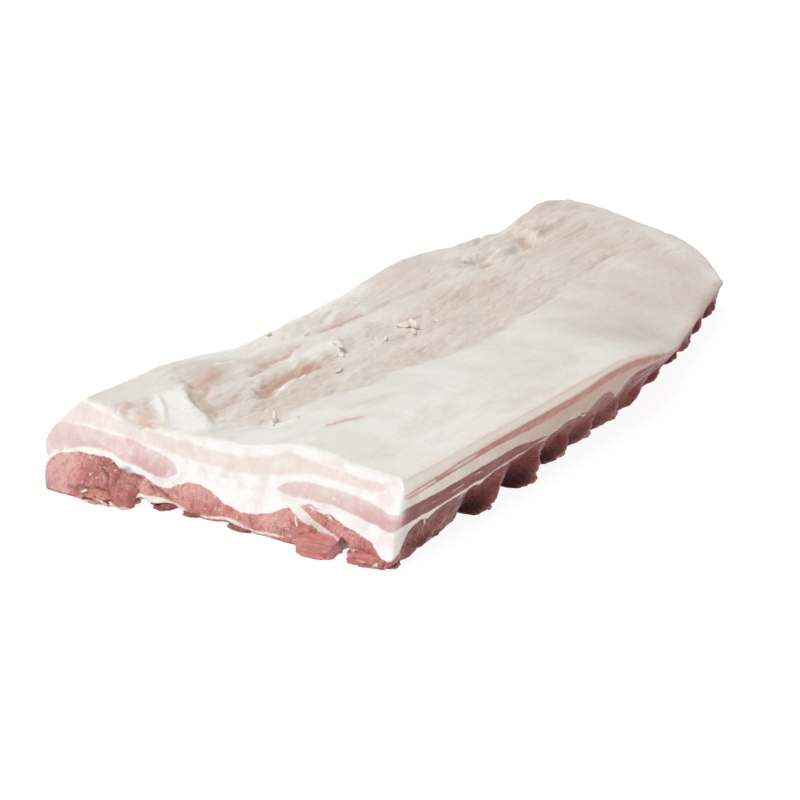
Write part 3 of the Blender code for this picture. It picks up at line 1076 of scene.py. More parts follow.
class LeanPattern:
    """The grain of muscle: fibres that run along the slab, with wandering pale veins and flecks among them."""

    CLOUD = 75.0
    GRAIN = 480.0
    FIBRE = 1300.0

    def __init__(self, graph: Graph, sizes: Triple = (0.16, 1.0, 1.0)) -> None:
        """Adds the pattern's textures.

        Args:
            graph: The material that takes the pattern.
            sizes: How the fibres are stretched along each axis.
        """
        self.graph = graph
        fibres = graph.stretch(sizes)
        self.clouds = graph.noise(self.CLOUD, 3.0)
        self.grain = graph.noise(self.GRAIN, 3.0, fibres, 0.65)
        self.fibres = graph.noise(self.FIBRE, 2.0, fibres, 0.6)
        self.spots = graph.noise(200.0, 2.0, fibres)
        self.flecks = graph.noise(560.0, 1.0, graph.stretch((sizes[0], sizes[1] * 0.55, sizes[2] * 1.5)))
        wander = graph.noise(170.0, 3.0, fibres, 0.55)
        self.veins = graph.ease(graph.math("ABSOLUTE", graph.math("SUBTRACT", wander, 0.5)), 0.022, 0.0)

    def colour(
        self, colours: LeanColours, lighter: object, deeper: object, flecks: object = 1.0
    ) -> bpy.types.NodeSocket:
        """Mixes the muscle's colour.

        Args:
            colours: The lean's colours.
            lighter: 0 for plain muscle to 1 for pale, smooth muscle.
            deeper: 0 for plain muscle to 1 for deep red muscle.
            flecks: How much of the pale veins and flecks shows.

        Returns:
            The colour.
        """
        graph = self.graph
        base = graph.mix(graph.ease(self.clouds, 0.32, 0.62), colours.red, colours.red_light)
        base = graph.mix(graph.math("MULTIPLY", lighter, graph.ease(self.clouds, 0.20, 0.60, 0.65, 1.0)), base, colours.light)
        spots = graph.math("MULTIPLY", graph.ease(self.spots, 0.50, 0.68), graph.ease(deeper, 0.0, 1.0, 0.45, 0.85))
        base = graph.mix(spots, base, colours.red_deep)
        base = graph.mix(graph.ease(deeper, 0.0, 1.0, 0.0, 0.50), base, colours.red_deep)
        base = graph.mix(graph.ease(self.grain, 0.50, 0.74, 0.0, 0.55), base, colours.light)
        base = graph.mix(graph.ease(self.grain, 0.44, 0.26, 0.0, 0.45), base, colours.red_deep)
        veins = graph.math("MULTIPLY", self.veins, graph.ease(self.clouds, 0.42, 0.62, 0.05, 0.65))
        base = graph.mix(graph.math("MULTIPLY", veins, flecks), base, colours.marbling)
        base = graph.mix(graph.ease(self.fibres, 0.54, 0.72, 0.0, 0.35), base, colours.marbling)
        return graph.mix(graph.math("MULTIPLY", graph.ease(self.flecks, 0.66, 0.76, 0.0, 0.6), flecks), base, colours.fleck)


class SlabFinish:
    """The slab's own material: every tissue, and painted shade in cavities, seams and grooves and on the belly cut,
    placed by the measures on the mesh.
    """

    def __init__(self, fat: FatColours, lean: LeanColours, gloss: MeatGloss) -> None:
        """Keeps the finish's colours.

        Args:
            fat: Colours of the fat.
            lean: Colours of the lean.
            gloss: How both take light.
        """
        self.fat, self.lean, self.gloss = fat, lean, gloss

    def top_colour(self, graph: Graph) -> bpy.types.NodeSocket:
        """Mixes the colour of the top fat, with what shows through it, its stains and its painted shade."""
        fat = self.fat
        pink, brown_and_shade, white = graph.measures("marks")
        _, hollow, beige_and_falloff_shade = graph.measures("skin")
        clouds = graph.noise(16.0, 3.0)
        streaks = graph.noise(75.0, 4.0, graph.stretch((0.22, 1.0, 1.0)), 0.55)
        frays = graph.noise(300.0, 3.0, graph.stretch((0.35, 1.0, 1.0)), 0.65)
        mottle = graph.noise(48.0, 4.0, graph.stretch((0.5, 1.0, 1.0)), 0.5)

        def frayed(strength: object, faint: float) -> bpy.types.NodeSocket:
            """Gives a mark's share: faint where it is weak, and dense with a frayed edge where it is strong."""
            rough = graph.math("ADD", strength, graph.math("MULTIPLY_ADD", frays, 0.9, -0.45))
            dense = graph.ease(rough, 0.42, 0.62, 0.0, 0.85 - faint)
            return graph.math("ADD", graph.math("MULTIPLY", strength, faint), graph.math("MULTIPLY", dense, strength))

        colour = graph.mix(graph.ease(clouds, 0.34, 0.62), fat.top, fat.top_grey)
        # Beige towards the flank end: partly the fat's tone, partly painted fall-off of the light.
        colour = graph.mix(graph.math("MULTIPLY", beige_and_falloff_shade, graph.ease(clouds, 0.30, 0.60, 0.5, 1.0)), colour, fat.top_beige)
        colour = graph.mix(graph.math("MULTIPLY", hollow, graph.ease(streaks, 0.30, 0.66, 0.40, 0.95)), colour, fat.hollow)
        stains = graph.math("MULTIPLY", hollow, graph.ease(streaks, 0.52, 0.74, 0.0, 0.50))
        colour = graph.mix(graph.math("ADD", stains, graph.ease(mottle, 0.48, 0.76, 0.0, 0.42)), colour, fat.top_beige)
        # Brown marks: painted shade in the grooves and pits, stain on the patches.
        colour = graph.mix(frayed(brown_and_shade, 0.45), colour, fat.brown_and_shade)
        colour = graph.mix(frayed(pink, 0.35), colour, graph.mix(graph.ease(pink, 0.75, 1.05), fat.pink, fat.raw_pink))
        colour = graph.mix(frayed(white, 0.25), colour, fat.white)
        return graph.mix(graph.ease(frays, 0.60, 0.80, 0.0, 0.30), colour, fat.white)

    def build(self) -> bpy.types.Material:
        """Builds the material.

        Returns:
            The material.
        """
        graph = Graph("raw_pork")
        fat, lean = self.fat, self.lean
        pale_offset, pale_half, belly = graph.measures("pale_streak")
        pink_offset, pink_half, rosy = graph.measures("pink_streak")
        red, membrane, seam = graph.measures("lean")
        top, _, beige_and_falloff_shade = graph.measures("skin")
        painted_shade, split, _ = graph.measures("shade")
        lighter, deeper, shaded_belly_side = graph.measures("tone")

        rough_edge = graph.math("MULTIPLY_ADD", graph.noise(330.0, 3.0), 2.0, -1.0)
        fine_edge = graph.math("MULTIPLY", rough_edge, 0.7)
        pattern = LeanPattern(graph)
        crisp = graph.math("MULTIPLY_ADD", belly, 1.3, 1.0)

        def inside(offset: object, half: object) -> bpy.types.NodeSocket:
            """Gives how far inside a streak a point is, in mm, with a frayed edge that is crisper on the belly cut."""
            within = graph.math("ADD", graph.math("SUBTRACT", half, graph.math("ABSOLUTE", offset)), fine_edge)
            return graph.math("MULTIPLY", within, crisp)

        mottled = graph.noise(260.0, 4.0, graph.stretch((0.35, 1.0, 1.0)), 0.7)
        cloudy = graph.noise(85.0, 4.0, None, 0.6)
        in_pale = graph.ease(inside(pale_offset, pale_half), -1.0, 1.1)
        in_pale = graph.math("MULTIPLY", in_pale, graph.math("SUBTRACT", 1.0, split))
        in_pink = graph.ease(inside(pink_offset, pink_half), -0.9, 1.0)
        in_red = graph.ease(graph.math("ADD", red, rough_edge), -0.45, 0.55)
        in_membrane = graph.ease(graph.math("ADD", membrane, fine_edge), -0.5, 0.5)

        cut = graph.mix(graph.ease(cloudy, 0.40, 0.72), fat.cut, fat.cut_shade)
        belly_fat = graph.mix(graph.ease(cloudy, 0.35, 0.65), fat.belly_cut, fat.belly_shade)
        # Darker belly fat towards the flank end: partly its tone, partly painted fall-off of the light.
        belly_fat = graph.mix(graph.math("MULTIPLY", beige_and_falloff_shade, 0.9), belly_fat, fat.belly_far)
        belly_fat = graph.mix(graph.ease(pale_offset, -2.0, -6.0, 0.0, 0.85), belly_fat, fat.belly_rim)
        # The belly cut takes darker copies of the fat, lean and membrane colours: partly its own tone, partly painted
        # shade, as it faces away from the key light.
        cut = graph.mix(shaded_belly_side, cut, belly_fat)
        muscle = pattern.colour(lean, lighter, deeper, graph.ease(shaded_belly_side, 0.0, 0.6, 1.0, 0.22))
        muscle = graph.mix(graph.math("MULTIPLY", shaded_belly_side, 0.72), muscle, lean.belly_red)

        pale = graph.mix(graph.ease(cloudy, 0.34, 0.66), lean.pale, lean.pale_warm)
        pale = graph.mix(graph.ease(mottled, 0.50, 0.75, 0.0, 0.45), pale, lean.pink_warm)
        pale = graph.mix(graph.ease(mottled, 0.46, 0.28, 0.0, 0.6), pale, fat.cut)
        # On the belly cut the pale streak takes a darker pink: partly its own look, partly painted shade.
        pale = graph.mix(graph.math("MULTIPLY", belly, graph.ease(mottled, 0.30, 0.60, 0.80, 1.0)), pale, lean.belly_pink)
        pink = graph.mix(graph.ease(cloudy, 0.34, 0.64), lean.pink, lean.pink_warm)
        pink = graph.mix(graph.math("MULTIPLY", rosy, graph.ease(cloudy, 0.26, 0.62, 0.5, 1.0)), pink, lean.rosy)
        pink = graph.mix(graph.ease(mottled, 0.52, 0.76, 0.0, 0.28), pink, lean.red_light)
        pink = graph.mix(graph.ease(mottled, 0.46, 0.28, 0.0, 0.55), pink, fat.cut)
        # The belly cut's pink streak takes the darker belly colours: partly its own look, partly painted shade.
        streaked = graph.mix(graph.ease(pattern.grain, 0.36, 0.64), lean.belly_rose, lean.belly_light)
        streaked = graph.mix(graph.ease(pattern.fibres, 0.54, 0.44, 0.0, 0.5), streaked, lean.red_deep)
        streaked = graph.mix(graph.math("MULTIPLY", pattern.veins, 0.22), streaked, lean.belly_light)
        pink = graph.mix(graph.math("MULTIPLY", belly, 0.95), pink, streaked)

        colour = graph.mix(in_pale, cut, pale)
        colour = graph.mix(in_pink, colour, pink)
        colour = graph.mix(in_red, colour, muscle)
        # Painted shade: the lean goes dark in the recesses between the fingers, low on the belly cut and on the
        # underside.
        colour = graph.mix(graph.math("MULTIPLY", painted_shade, in_red), colour, lean.cavity_shade)
        # Painted shade in the creases along the seams.
        colour = graph.mix(graph.math("MULTIPLY", seam, 0.75), colour, lean.seam_shade)
        colour = graph.mix(in_membrane, colour, graph.mix(shaded_belly_side, fat.membrane, fat.belly_cut))
        # Near the belly cut the top fat blends into the belly fat and its painted shade.
        skin = graph.mix(graph.ease(shaded_belly_side, 0.30, 1.0, 0.0, 0.75), self.top_colour(graph), belly_fat)
        colour = graph.mix(top, colour, skin)
        graph.feed(graph.shader.inputs["Base Color"], colour)

        lean_share = graph.math("MAXIMUM", in_red, graph.math("MULTIPLY", in_pink, 0.3))
        moist = graph.ease(graph.noise(90.0, 3.0), 0.35, 0.70, -0.06, 0.10)
        rough = graph.ease(lean_share, 0.0, 1.0, self.gloss.fat_roughness, self.gloss.lean_roughness)
        graph.feed(graph.shader.inputs["Roughness"], graph.math("ADD", rough, moist))

        grain = graph.math("MULTIPLY", pattern.grain, lean_share)
        fibres = graph.math("MULTIPLY", pattern.fibres, graph.ease(lean_share, 0.0, 1.0, 0.2, 0.7))
        skin_grain = graph.noise(330.0, 4.0, graph.stretch((0.3, 1.0, 1.0)), 0.65)
        skin_grain = graph.math("MULTIPLY", graph.math("MULTIPLY", skin_grain, top), 1.3)
        height = graph.math("ADD", graph.math("ADD", graph.math("MULTIPLY", grain, 1.1), fibres), skin_grain)
        height = graph.math("SUBTRACT", height, graph.math("MULTIPLY", seam, 0.5))
        graph.bump(height, 0.0008, 0.85)
        self.gloss.set(graph.shader)
        return graph.material


class MuscleFinish:
    """The finish of a loose piece of muscle."""

    def __init__(self, name: str, lighter: float, deeper: float, fibres: Triple, sinew: float, tinge: Paint) -> None:
        """Keeps the finish's numbers.

        Args:
            name: The material's name.
            lighter: 0 for plain muscle to 1 for pale muscle.
            deeper: 0 for plain muscle to 1 for deep red muscle.
            fibres: How the fibres are stretched along each axis.
            sinew: How much pale sinew shows.
            tinge: The colour that the whole piece leans to.
        """
        self.name, self.lighter, self.deeper = name, lighter, deeper
        self.fibres, self.sinew, self.tinge = fibres, sinew, tinge

    def build(self, fat: FatColours, lean: LeanColours, gloss: MeatGloss) -> bpy.types.Material:
        """Builds the material.

        Args:
            fat: Colours of the fat and sinew.
            lean: Colours of the lean.
            gloss: How both take light.

        Returns:
            The material.
        """
        graph = Graph(self.name)
        pattern = LeanPattern(graph, self.fibres)
        muscle = graph.mix(0.5, pattern.colour(lean, self.lighter, self.deeper), self.tinge)
        threads = graph.noise(240.0, 3.0, graph.stretch(self.fibres), 0.6)
        sinew = graph.ease(threads, 0.60, 0.72, 0.0, self.sinew)
        colour = graph.mix(sinew, muscle, graph.mix(0.35, fat.membrane, self.tinge))
        graph.feed(graph.shader.inputs["Base Color"], colour)
        graph.shader.inputs["Roughness"].default_value = gloss.lean_roughness
        height = graph.math("ADD", graph.math("MULTIPLY", pattern.grain, 1.2), pattern.fibres)
        graph.bump(height, 0.0008, 0.9)
        gloss.set(graph.shader, 0.12)
        return graph.material


class TagFinish:
    """The finish of a loose tag of fat."""

    def __init__(self, name: str, tone: Paint, shade: Paint) -> None:
        """Keeps the finish's colours.

        Args:
            name: The material's name.
            tone: The tag's colour.
            shade: Its colour where it is dirtier.
        """
        self.name, self.tone, self.shade = name, tone, shade

    def build(self, gloss: MeatGloss) -> bpy.types.Material:
        """Builds the material.

        Args:
            gloss: How the fat takes light.

        Returns:
            The material.
        """
        graph = Graph(self.name)
        colour = graph.mix(graph.ease(graph.noise(160.0, 3.0), 0.36, 0.64), self.tone, self.shade)
        graph.feed(graph.shader.inputs["Base Color"], colour)
        graph.shader.inputs["Roughness"].default_value = gloss.fat_roughness
        graph.bump(graph.noise(420.0, 3.0), 0.0003, 0.6)
        gloss.set(graph.shader)
        return graph.material


class Tone(Enum):
    """The finishes that the small pieces choose from."""

    BRIGHT_MUSCLE = "bright_muscle"
    # A darker copy of the muscle: painted shade for the pieces low under the slab and on the belly side.
    SHADE_PAINTED_MUSCLE = "shade_painted_muscle"
    NUB_MUSCLE = "nub_muscle"
    SHADED_MUSCLE = "shaded_muscle"
    RAGGED_MUSCLE = "ragged_muscle"
    CREAM_FAT = "cream_fat"
    YELLOW_FAT = "yellow_fat"
    SINEW = "sinew"


class Larder:
    """Every finish of the slab and of its small pieces, each built once."""

    def __init__(self) -> None:
        """Builds the finishes."""
        fat, lean, gloss = FatColours(), LeanColours(), MeatGloss()
        self.slab = SlabFinish(fat, lean, gloss).build()
        level = (1.0, 0.14, 1.0)
        lengthwise = (0.16, 1.0, 1.0)
        muscles = (
            (Tone.BRIGHT_MUSCLE, 0.25, 0.20, level, 0.60, srgb(198, 112, 108)),
            # The darker muscle: painted shade for the pieces low under the slab and on the belly side.
            (Tone.SHADE_PAINTED_MUSCLE, 0.0, 0.75, lengthwise, 0.10, srgb(118, 56, 52)),
            (Tone.NUB_MUSCLE, 0.10, 0.40, lengthwise, 0.20, srgb(180, 92, 82)),
            (Tone.RAGGED_MUSCLE, 0.40, 0.10, level, 0.60, srgb(218, 144, 122)),
            (Tone.SHADED_MUSCLE, 0.0, 1.0, lengthwise, 0.05, srgb(100, 44, 40)),
        )
        self.tones = {
            tone: MuscleFinish(tone.value, lighter, deeper, fibres, sinew, tinge).build(fat, lean, gloss)
            for tone, lighter, deeper, fibres, sinew, tinge in muscles
        }
        tags = (
            (Tone.CREAM_FAT, srgb(250, 246, 238), srgb(234, 221, 207)),
            (Tone.YELLOW_FAT, srgb(250, 240, 214), srgb(240, 220, 186)),
            (Tone.SINEW, srgb(240, 222, 212), srgb(226, 190, 178)),
        )
        self.tones.update({tone: TagFinish(tone.value, clean, dull).build(gloss) for tone, clean, dull in tags})


# ---------------------------------------------------------------------------------------------------------------
# The slab
# ---------------------------------------------------------------------------------------------------------------


@dataclass
class PorkSlab:
    """The whole slab as one closed mesh, with the measures of its tissues on every vertex."""

    form: SlabForm
    coarse_along: int = 120
    coarse_across: int = 120
    coarse_deep: int = 16
    end_crowding: float = 1.15
    top_rounding: float = 0.0022
    belly_top_rounding: float = 0.0060
    end_rounding: float = 0.0016
    lower_rounding: float = 0.0050
    seed: int = 11
    part_grid: tuple[int, int, int] = (85, 21, 8)

    def box(self) -> bmesh.types.BMesh:
        """Divides a unit box, twice as finely on the top and on the two clean cuts.

        Returns:
            The divided box.
        """
        box = bmesh.new()
        bmesh.ops.create_cube(box, size=1.0)
        bmesh.ops.translate(box, verts=box.verts, vec=(0.5, 0.5, 0.5))
        for axis, segments in enumerate((self.coarse_along, self.coarse_across, self.coarse_deep)):
            rungs = [e for e in box.edges if abs(e.verts[0].co[axis] - e.verts[1].co[axis]) > 0.5]
            bmesh.ops.subdivide_edges(box, edges=rungs, cuts=segments - 1, use_grid_fill=True)
        box.normal_update()
        fine = [f for f in box.faces if f.normal.z > 0.5 or f.normal.x < -0.5 or f.normal.y < -0.5]
        edges = list({edge for face in fine for edge in face.edges})
        bmesh.ops.subdivide_edges(box, edges=edges, cuts=1, use_grid_fill=True, use_single_edge=True)
        return box

    def shares(self, mesh: bpy.types.Mesh) -> SlabPoints:
        """Reads the box's vertices as shares, crowded towards the end cut."""
        flat = np.empty(len(mesh.vertices) * 3)
        mesh.vertices.foreach_get("co", flat)
        along, across, up = np.clip(flat.reshape(-1, 3).T, 0.0, 1.0)
        return SlabPoints(along**self.end_crowding, across, up)

    def lay_out(self, points: SlabPoints, top: "TopSurface | None") -> None:
        """Works out where every vertex is in the slab.

        Args:
            points: The vertices, which gain their places.
            top: The relief of the top fat, or None for the bare form.
        """
        form = self.form
        depth = 1.0 - points.share_up
        start = form.end_cut_place(points.share_across * form.width, depth)
        if top is not None:
            start = start + form.end_cut_tuck(points.share_across * form.width, depth)
        end = form.flank_end_place(points.share_across, depth)
        slant = form.rib_slant * points.share_across * form.width * depth * np.sin(math.pi * points.share_along)
        points.along = start + (end - start) * points.share_along + slant
        nominal = -form.end_cut_lean + (form.length + form.end_cut_lean) * points.share_along
        opening, height = form.groove_opening(nominal)
        belly = form.belly_outline(points.along, depth, opening)
        back = form.back_outline(points.along, depth)
        if top is not None:
            belly = belly + form.finger_offset(nominal, depth) + form.calm_swell(depth, opening)
            back = back - form.back_corner(points.along, depth)
        points.across = belly + (back - belly) * points.share_across
        low = form.underside_height(points.along, points.across, opening, height)
        high = form.fat_height(points.along, points.across)
        datum = high
        if top is not None:
            high = high + top.relief(points) * MM
        points.height = low + (high - low) * points.share_up
        points.depth_mm = (high - points.height) / MM
        points.layer_depth_mm = (datum - points.height) / MM
        points.inside_end = points.along - start
        points.inside_belly = points.across - belly
        points.opening = opening
        points.groove_height = low
        points.finger_place = form.finger_place(nominal, depth)

    def middle(self) -> Array:
        """Gives the middle of the bare form's footprint, which the part puts at the origin."""
        grid = np.meshgrid(*(np.linspace(0.0, 1.0, count) for count in self.part_grid), indexing="ij")
        points = SlabPoints(*(axis.ravel() for axis in grid))
        self.lay_out(points, None)
        sides = (points.along, points.across)
        return np.array([0.5 * (side.min() + side.max()) for side in sides])

    def fillet(self, points: SlabPoints, first: Array, second: Array, radius: float) -> tuple[Array, Array]:
        """Rounds the edge where two faces meet.

        Args:
            points: The slab's vertices; not used.
            first: Distance inside the first face.
            second: Distance inside the second face.
            radius: The round's radius.

        Returns:
            How far each vertex moves into the first face and into the second.
        """
        quarter = 0.25 * math.pi
        on_first = (first < 1e-7) & (second < radius)
        on_second = (second < 1e-7) & (first < radius) & ~on_first
        turn_first = quarter * (1.0 - second / radius)
        turn_second = quarter * (1.0 - first / radius)
        into_first = np.where(on_first, radius * (1.0 - np.cos(turn_first)), 0.0)
        into_second = np.where(on_first, radius * (1.0 - np.sin(turn_first)) - second, 0.0)
        into_second = np.where(on_second, radius * (1.0 - np.cos(turn_second)), into_second)
        into_first = np.where(on_second, radius * (1.0 - np.sin(turn_second)) - first, into_first)
        return into_first, into_second

    def round_edges(self, points: SlabPoints) -> None:
        """Rounds the slab's long edges: tight at the cut fat, wide where muscle turns under."""
        depth = points.depth_mm * MM
        above = points.height - points.groove_height
        inside_end = np.where(points.share_along == 0.0, 0.0, points.inside_end)
        inside_belly = np.where(points.share_across == 0.0, 0.0, points.inside_belly)
        depth = np.where(points.share_up == 1.0, 0.0, depth)
        above = np.where(points.share_up == 0.0, 0.0, above)
        into_end, down = self.fillet(points, inside_end, depth, self.top_rounding)
        into_belly, down_belly = self.fillet(points, inside_belly, depth, self.belly_top_rounding)
        corner_end, corner_belly = self.fillet(points, inside_end, inside_belly, self.end_rounding)
        under_end, up = self.fillet(points, inside_end, above, 0.6 * self.lower_rounding)
        under_belly, up_belly = self.fillet(points, inside_belly, above, self.lower_rounding)
        points.along = points.along + np.maximum.reduce([into_end, corner_end, under_end])
        points.across = points.across + np.maximum.reduce([into_belly, corner_belly, under_belly])
        points.height = points.height - np.maximum(down, down_belly) + np.maximum(up, up_belly)

    def build(self, top: "TopSurface", cuts: "CutSurfaces", material: bpy.types.Material) -> bpy.types.Object:
        """Builds the slab.

        Args:
            top: The relief and tints of the top fat.
            cuts: The tissues and the relief of the cut faces.
            material: The slab's finish.

        Returns:
            The slab, at the part's place.
        """
        box = self.box()
        mesh = bpy.data.meshes.new("belly_slab")
        box.to_mesh(mesh)
        box.free()
        points = self.shares(mesh)
        self.lay_out(points, top)
        measures = {**cuts.measures(points), **top.measures(points)}
        self.round_edges(points)
        cuts.raise_relief(points, measures)
        middle = self.middle()
        height = np.maximum(points.height, 0.0)
        placed = np.stack([points.along - middle[0], points.across - middle[1], height], axis=1)
        mesh.vertices.foreach_set("co", placed.astype(np.float32).ravel())
        for name, values in measures.items():
            attribute = mesh.attributes.new(name, "FLOAT_VECTOR", "POINT")
            attribute.data.foreach_set("vector", np.stack(values, axis=1).astype(np.float32).ravel())
        mesh.materials.append(material)
        mesh.shade_smooth()
        mesh.update()
        slab = bpy.data.objects.new("belly_slab", mesh)
        bpy.context.scene.collection.objects.link(slab)
        return slab


class TopSurface:
    """Relief and tints of the slab's top fat, the tints with painted shade in its grooves and a painted fall-off of the
    light towards the flank end.
    """

    FAN = 15.0
    FAN_START = 33.0
    FAN_RUN = 15.0
    EDGE_FADE = 38.0

    def __init__(self, seed: int) -> None:
        """Starts the surface's noise.

        Args:
            seed: Start of the random numbers.
        """
        self.noise = GradientNoise(seed)

    def hollow_share(self, along: Array, across: Array) -> Array:
        """Gives 1 in the rough hollow that the skin left, and 0 on smooth fat. Places are in mm."""
        wander = 5.0 * self.noise.stretched(along, across, 3.0, (40.0, 14.0, 1.0), 2)
        border = through(HOLLOW_BORDER, along)
        inside = smoothstep(-3.0, 5.0, across - border + wander)
        beyond = 1.0 - smoothstep(162.0, 186.0, across + wander)
        ends = smoothstep(12.0, 45.0, along) * (1.0 - smoothstep(330.0, 400.0, along))
        return inside * beyond * ends

    def relief(self, points: SlabPoints) -> Array:
        """Gives the relief over the bare form, in mm, at every vertex."""
        along, across = points.along / MM, points.across / MM
        noise = self.noise
        hollow = self.hollow_share(along, across)
        crest = smoothstep(165.0, 190.0, across) * smoothstep(20.0, 70.0, along)
        flank = smoothstep(330.0, 400.0, along) * smoothstep(95.0, 125.0, across)
        plain = 1.0 - np.maximum.reduce([hollow, crest, flank])
        fan = self.FAN * np.exp(-np.maximum(along - self.FAN_START, 0.0) / self.FAN_RUN)
        swept = across - fan * smoothstep(105.0, 130.0, across) * (1.0 - smoothstep(160.0, 185.0, across))
        fine = noise.stretched(along, swept, 0.0, (26.0, 3.4, 1.0), 3)
        torn = noise.stretched(along, swept, 5.0, (7.0, 2.6, 1.0), 2)
        folds = noise.stretched(along, swept, 9.0, (80.0, 8.0, 1.0), 2)
        pleats = noise.stretched(along, across, 13.0, (34.0, 5.5, 1.0), 2)
        swell = noise.stretched(along, across, 21.0, (60.0, 34.0, 1.0), 2)
        dimples = noise.stretched(along, across, 27.0, (12.0, 8.0, 1.0), 2)
        wrinkles = np.maximum(1.0 - np.abs(noise.stretched(along, swept, 35.0, (60.0, 11.0, 1.0), 2)) / 0.09, 0.0)
        sparse = smoothstep(-0.10, 0.25, noise.stretched(along, across, 47.0, (30.0, 14.0, 1.0), 2))
        pits = np.maximum(noise.stretched(along, across, 53.0, (4.0, 3.0, 1.0), 2) - 0.25, 0.0)
        rise = 0.9 * swell + 0.30 * dimples * (0.5 + 0.5 * plain)
        rise += hollow * (1.8 * fine + 1.2 * torn + 2.2 * folds - 1.8 * wrinkles * sparse - 1.6 * pits)
        rise += crest * (1.9 * folds + 0.8 * pleats + 0.5 * fine - 1.2 * wrinkles * sparse)
        rise += flank * (2.2 * folds + 1.4 * pleats + 0.5 * fine - 1.2 * wrinkles * sparse)
        rise += plain * (0.45 * pleats - 0.25 * wrinkles * sparse)
        rise *= 1.0 - 0.8 * np.exp(-(1.0 - points.share_along) * self.EDGE_FADE)
        tints = np.zeros((3, len(along)))
        wander = noise.stretched(along, across, 31.0, (6.0, 4.0, 1.0), 2)
        for mark in TOP_MARKS:
            mark.apply(along, across, wander, rise, tints)
        self.tints, self.hollow = tints, hollow
        return rise

    def measures(self, points: SlabPoints) -> dict[str, tuple[Array, Array, Array]]:
        """Gives the measures that the slab's finish reads, after the relief has been worked out."""
        along, across = points.along / MM, points.across / MM
        on_top = (points.share_up == 1.0).astype(float)
        # Beige share, growing towards the flank end and the back: partly the fat's own tone, partly painted fall-off of
        # the light. On the belly cut it is a plain ramp along the slab.
        far = smoothstep(60.0, 460.0, along) * 0.75 + 0.25 * smoothstep(150.0, 240.0, across)
        cloud = 0.5 + self.noise.stretched(along, across, 41.0, (70.0, 36.0, 1.0), 2)
        beige_and_falloff_shade = np.clip(far * (0.4 + 0.9 * cloud), 0.0, 1.0)
        beige_and_falloff_shade = np.where(points.share_across == 0.0, smoothstep(20.0, 200.0, along), beige_and_falloff_shade)
        return {
            "marks": (self.tints[0], self.tints[1], self.tints[2]),
            "skin": (on_top, self.hollow, beige_and_falloff_shade),
        }


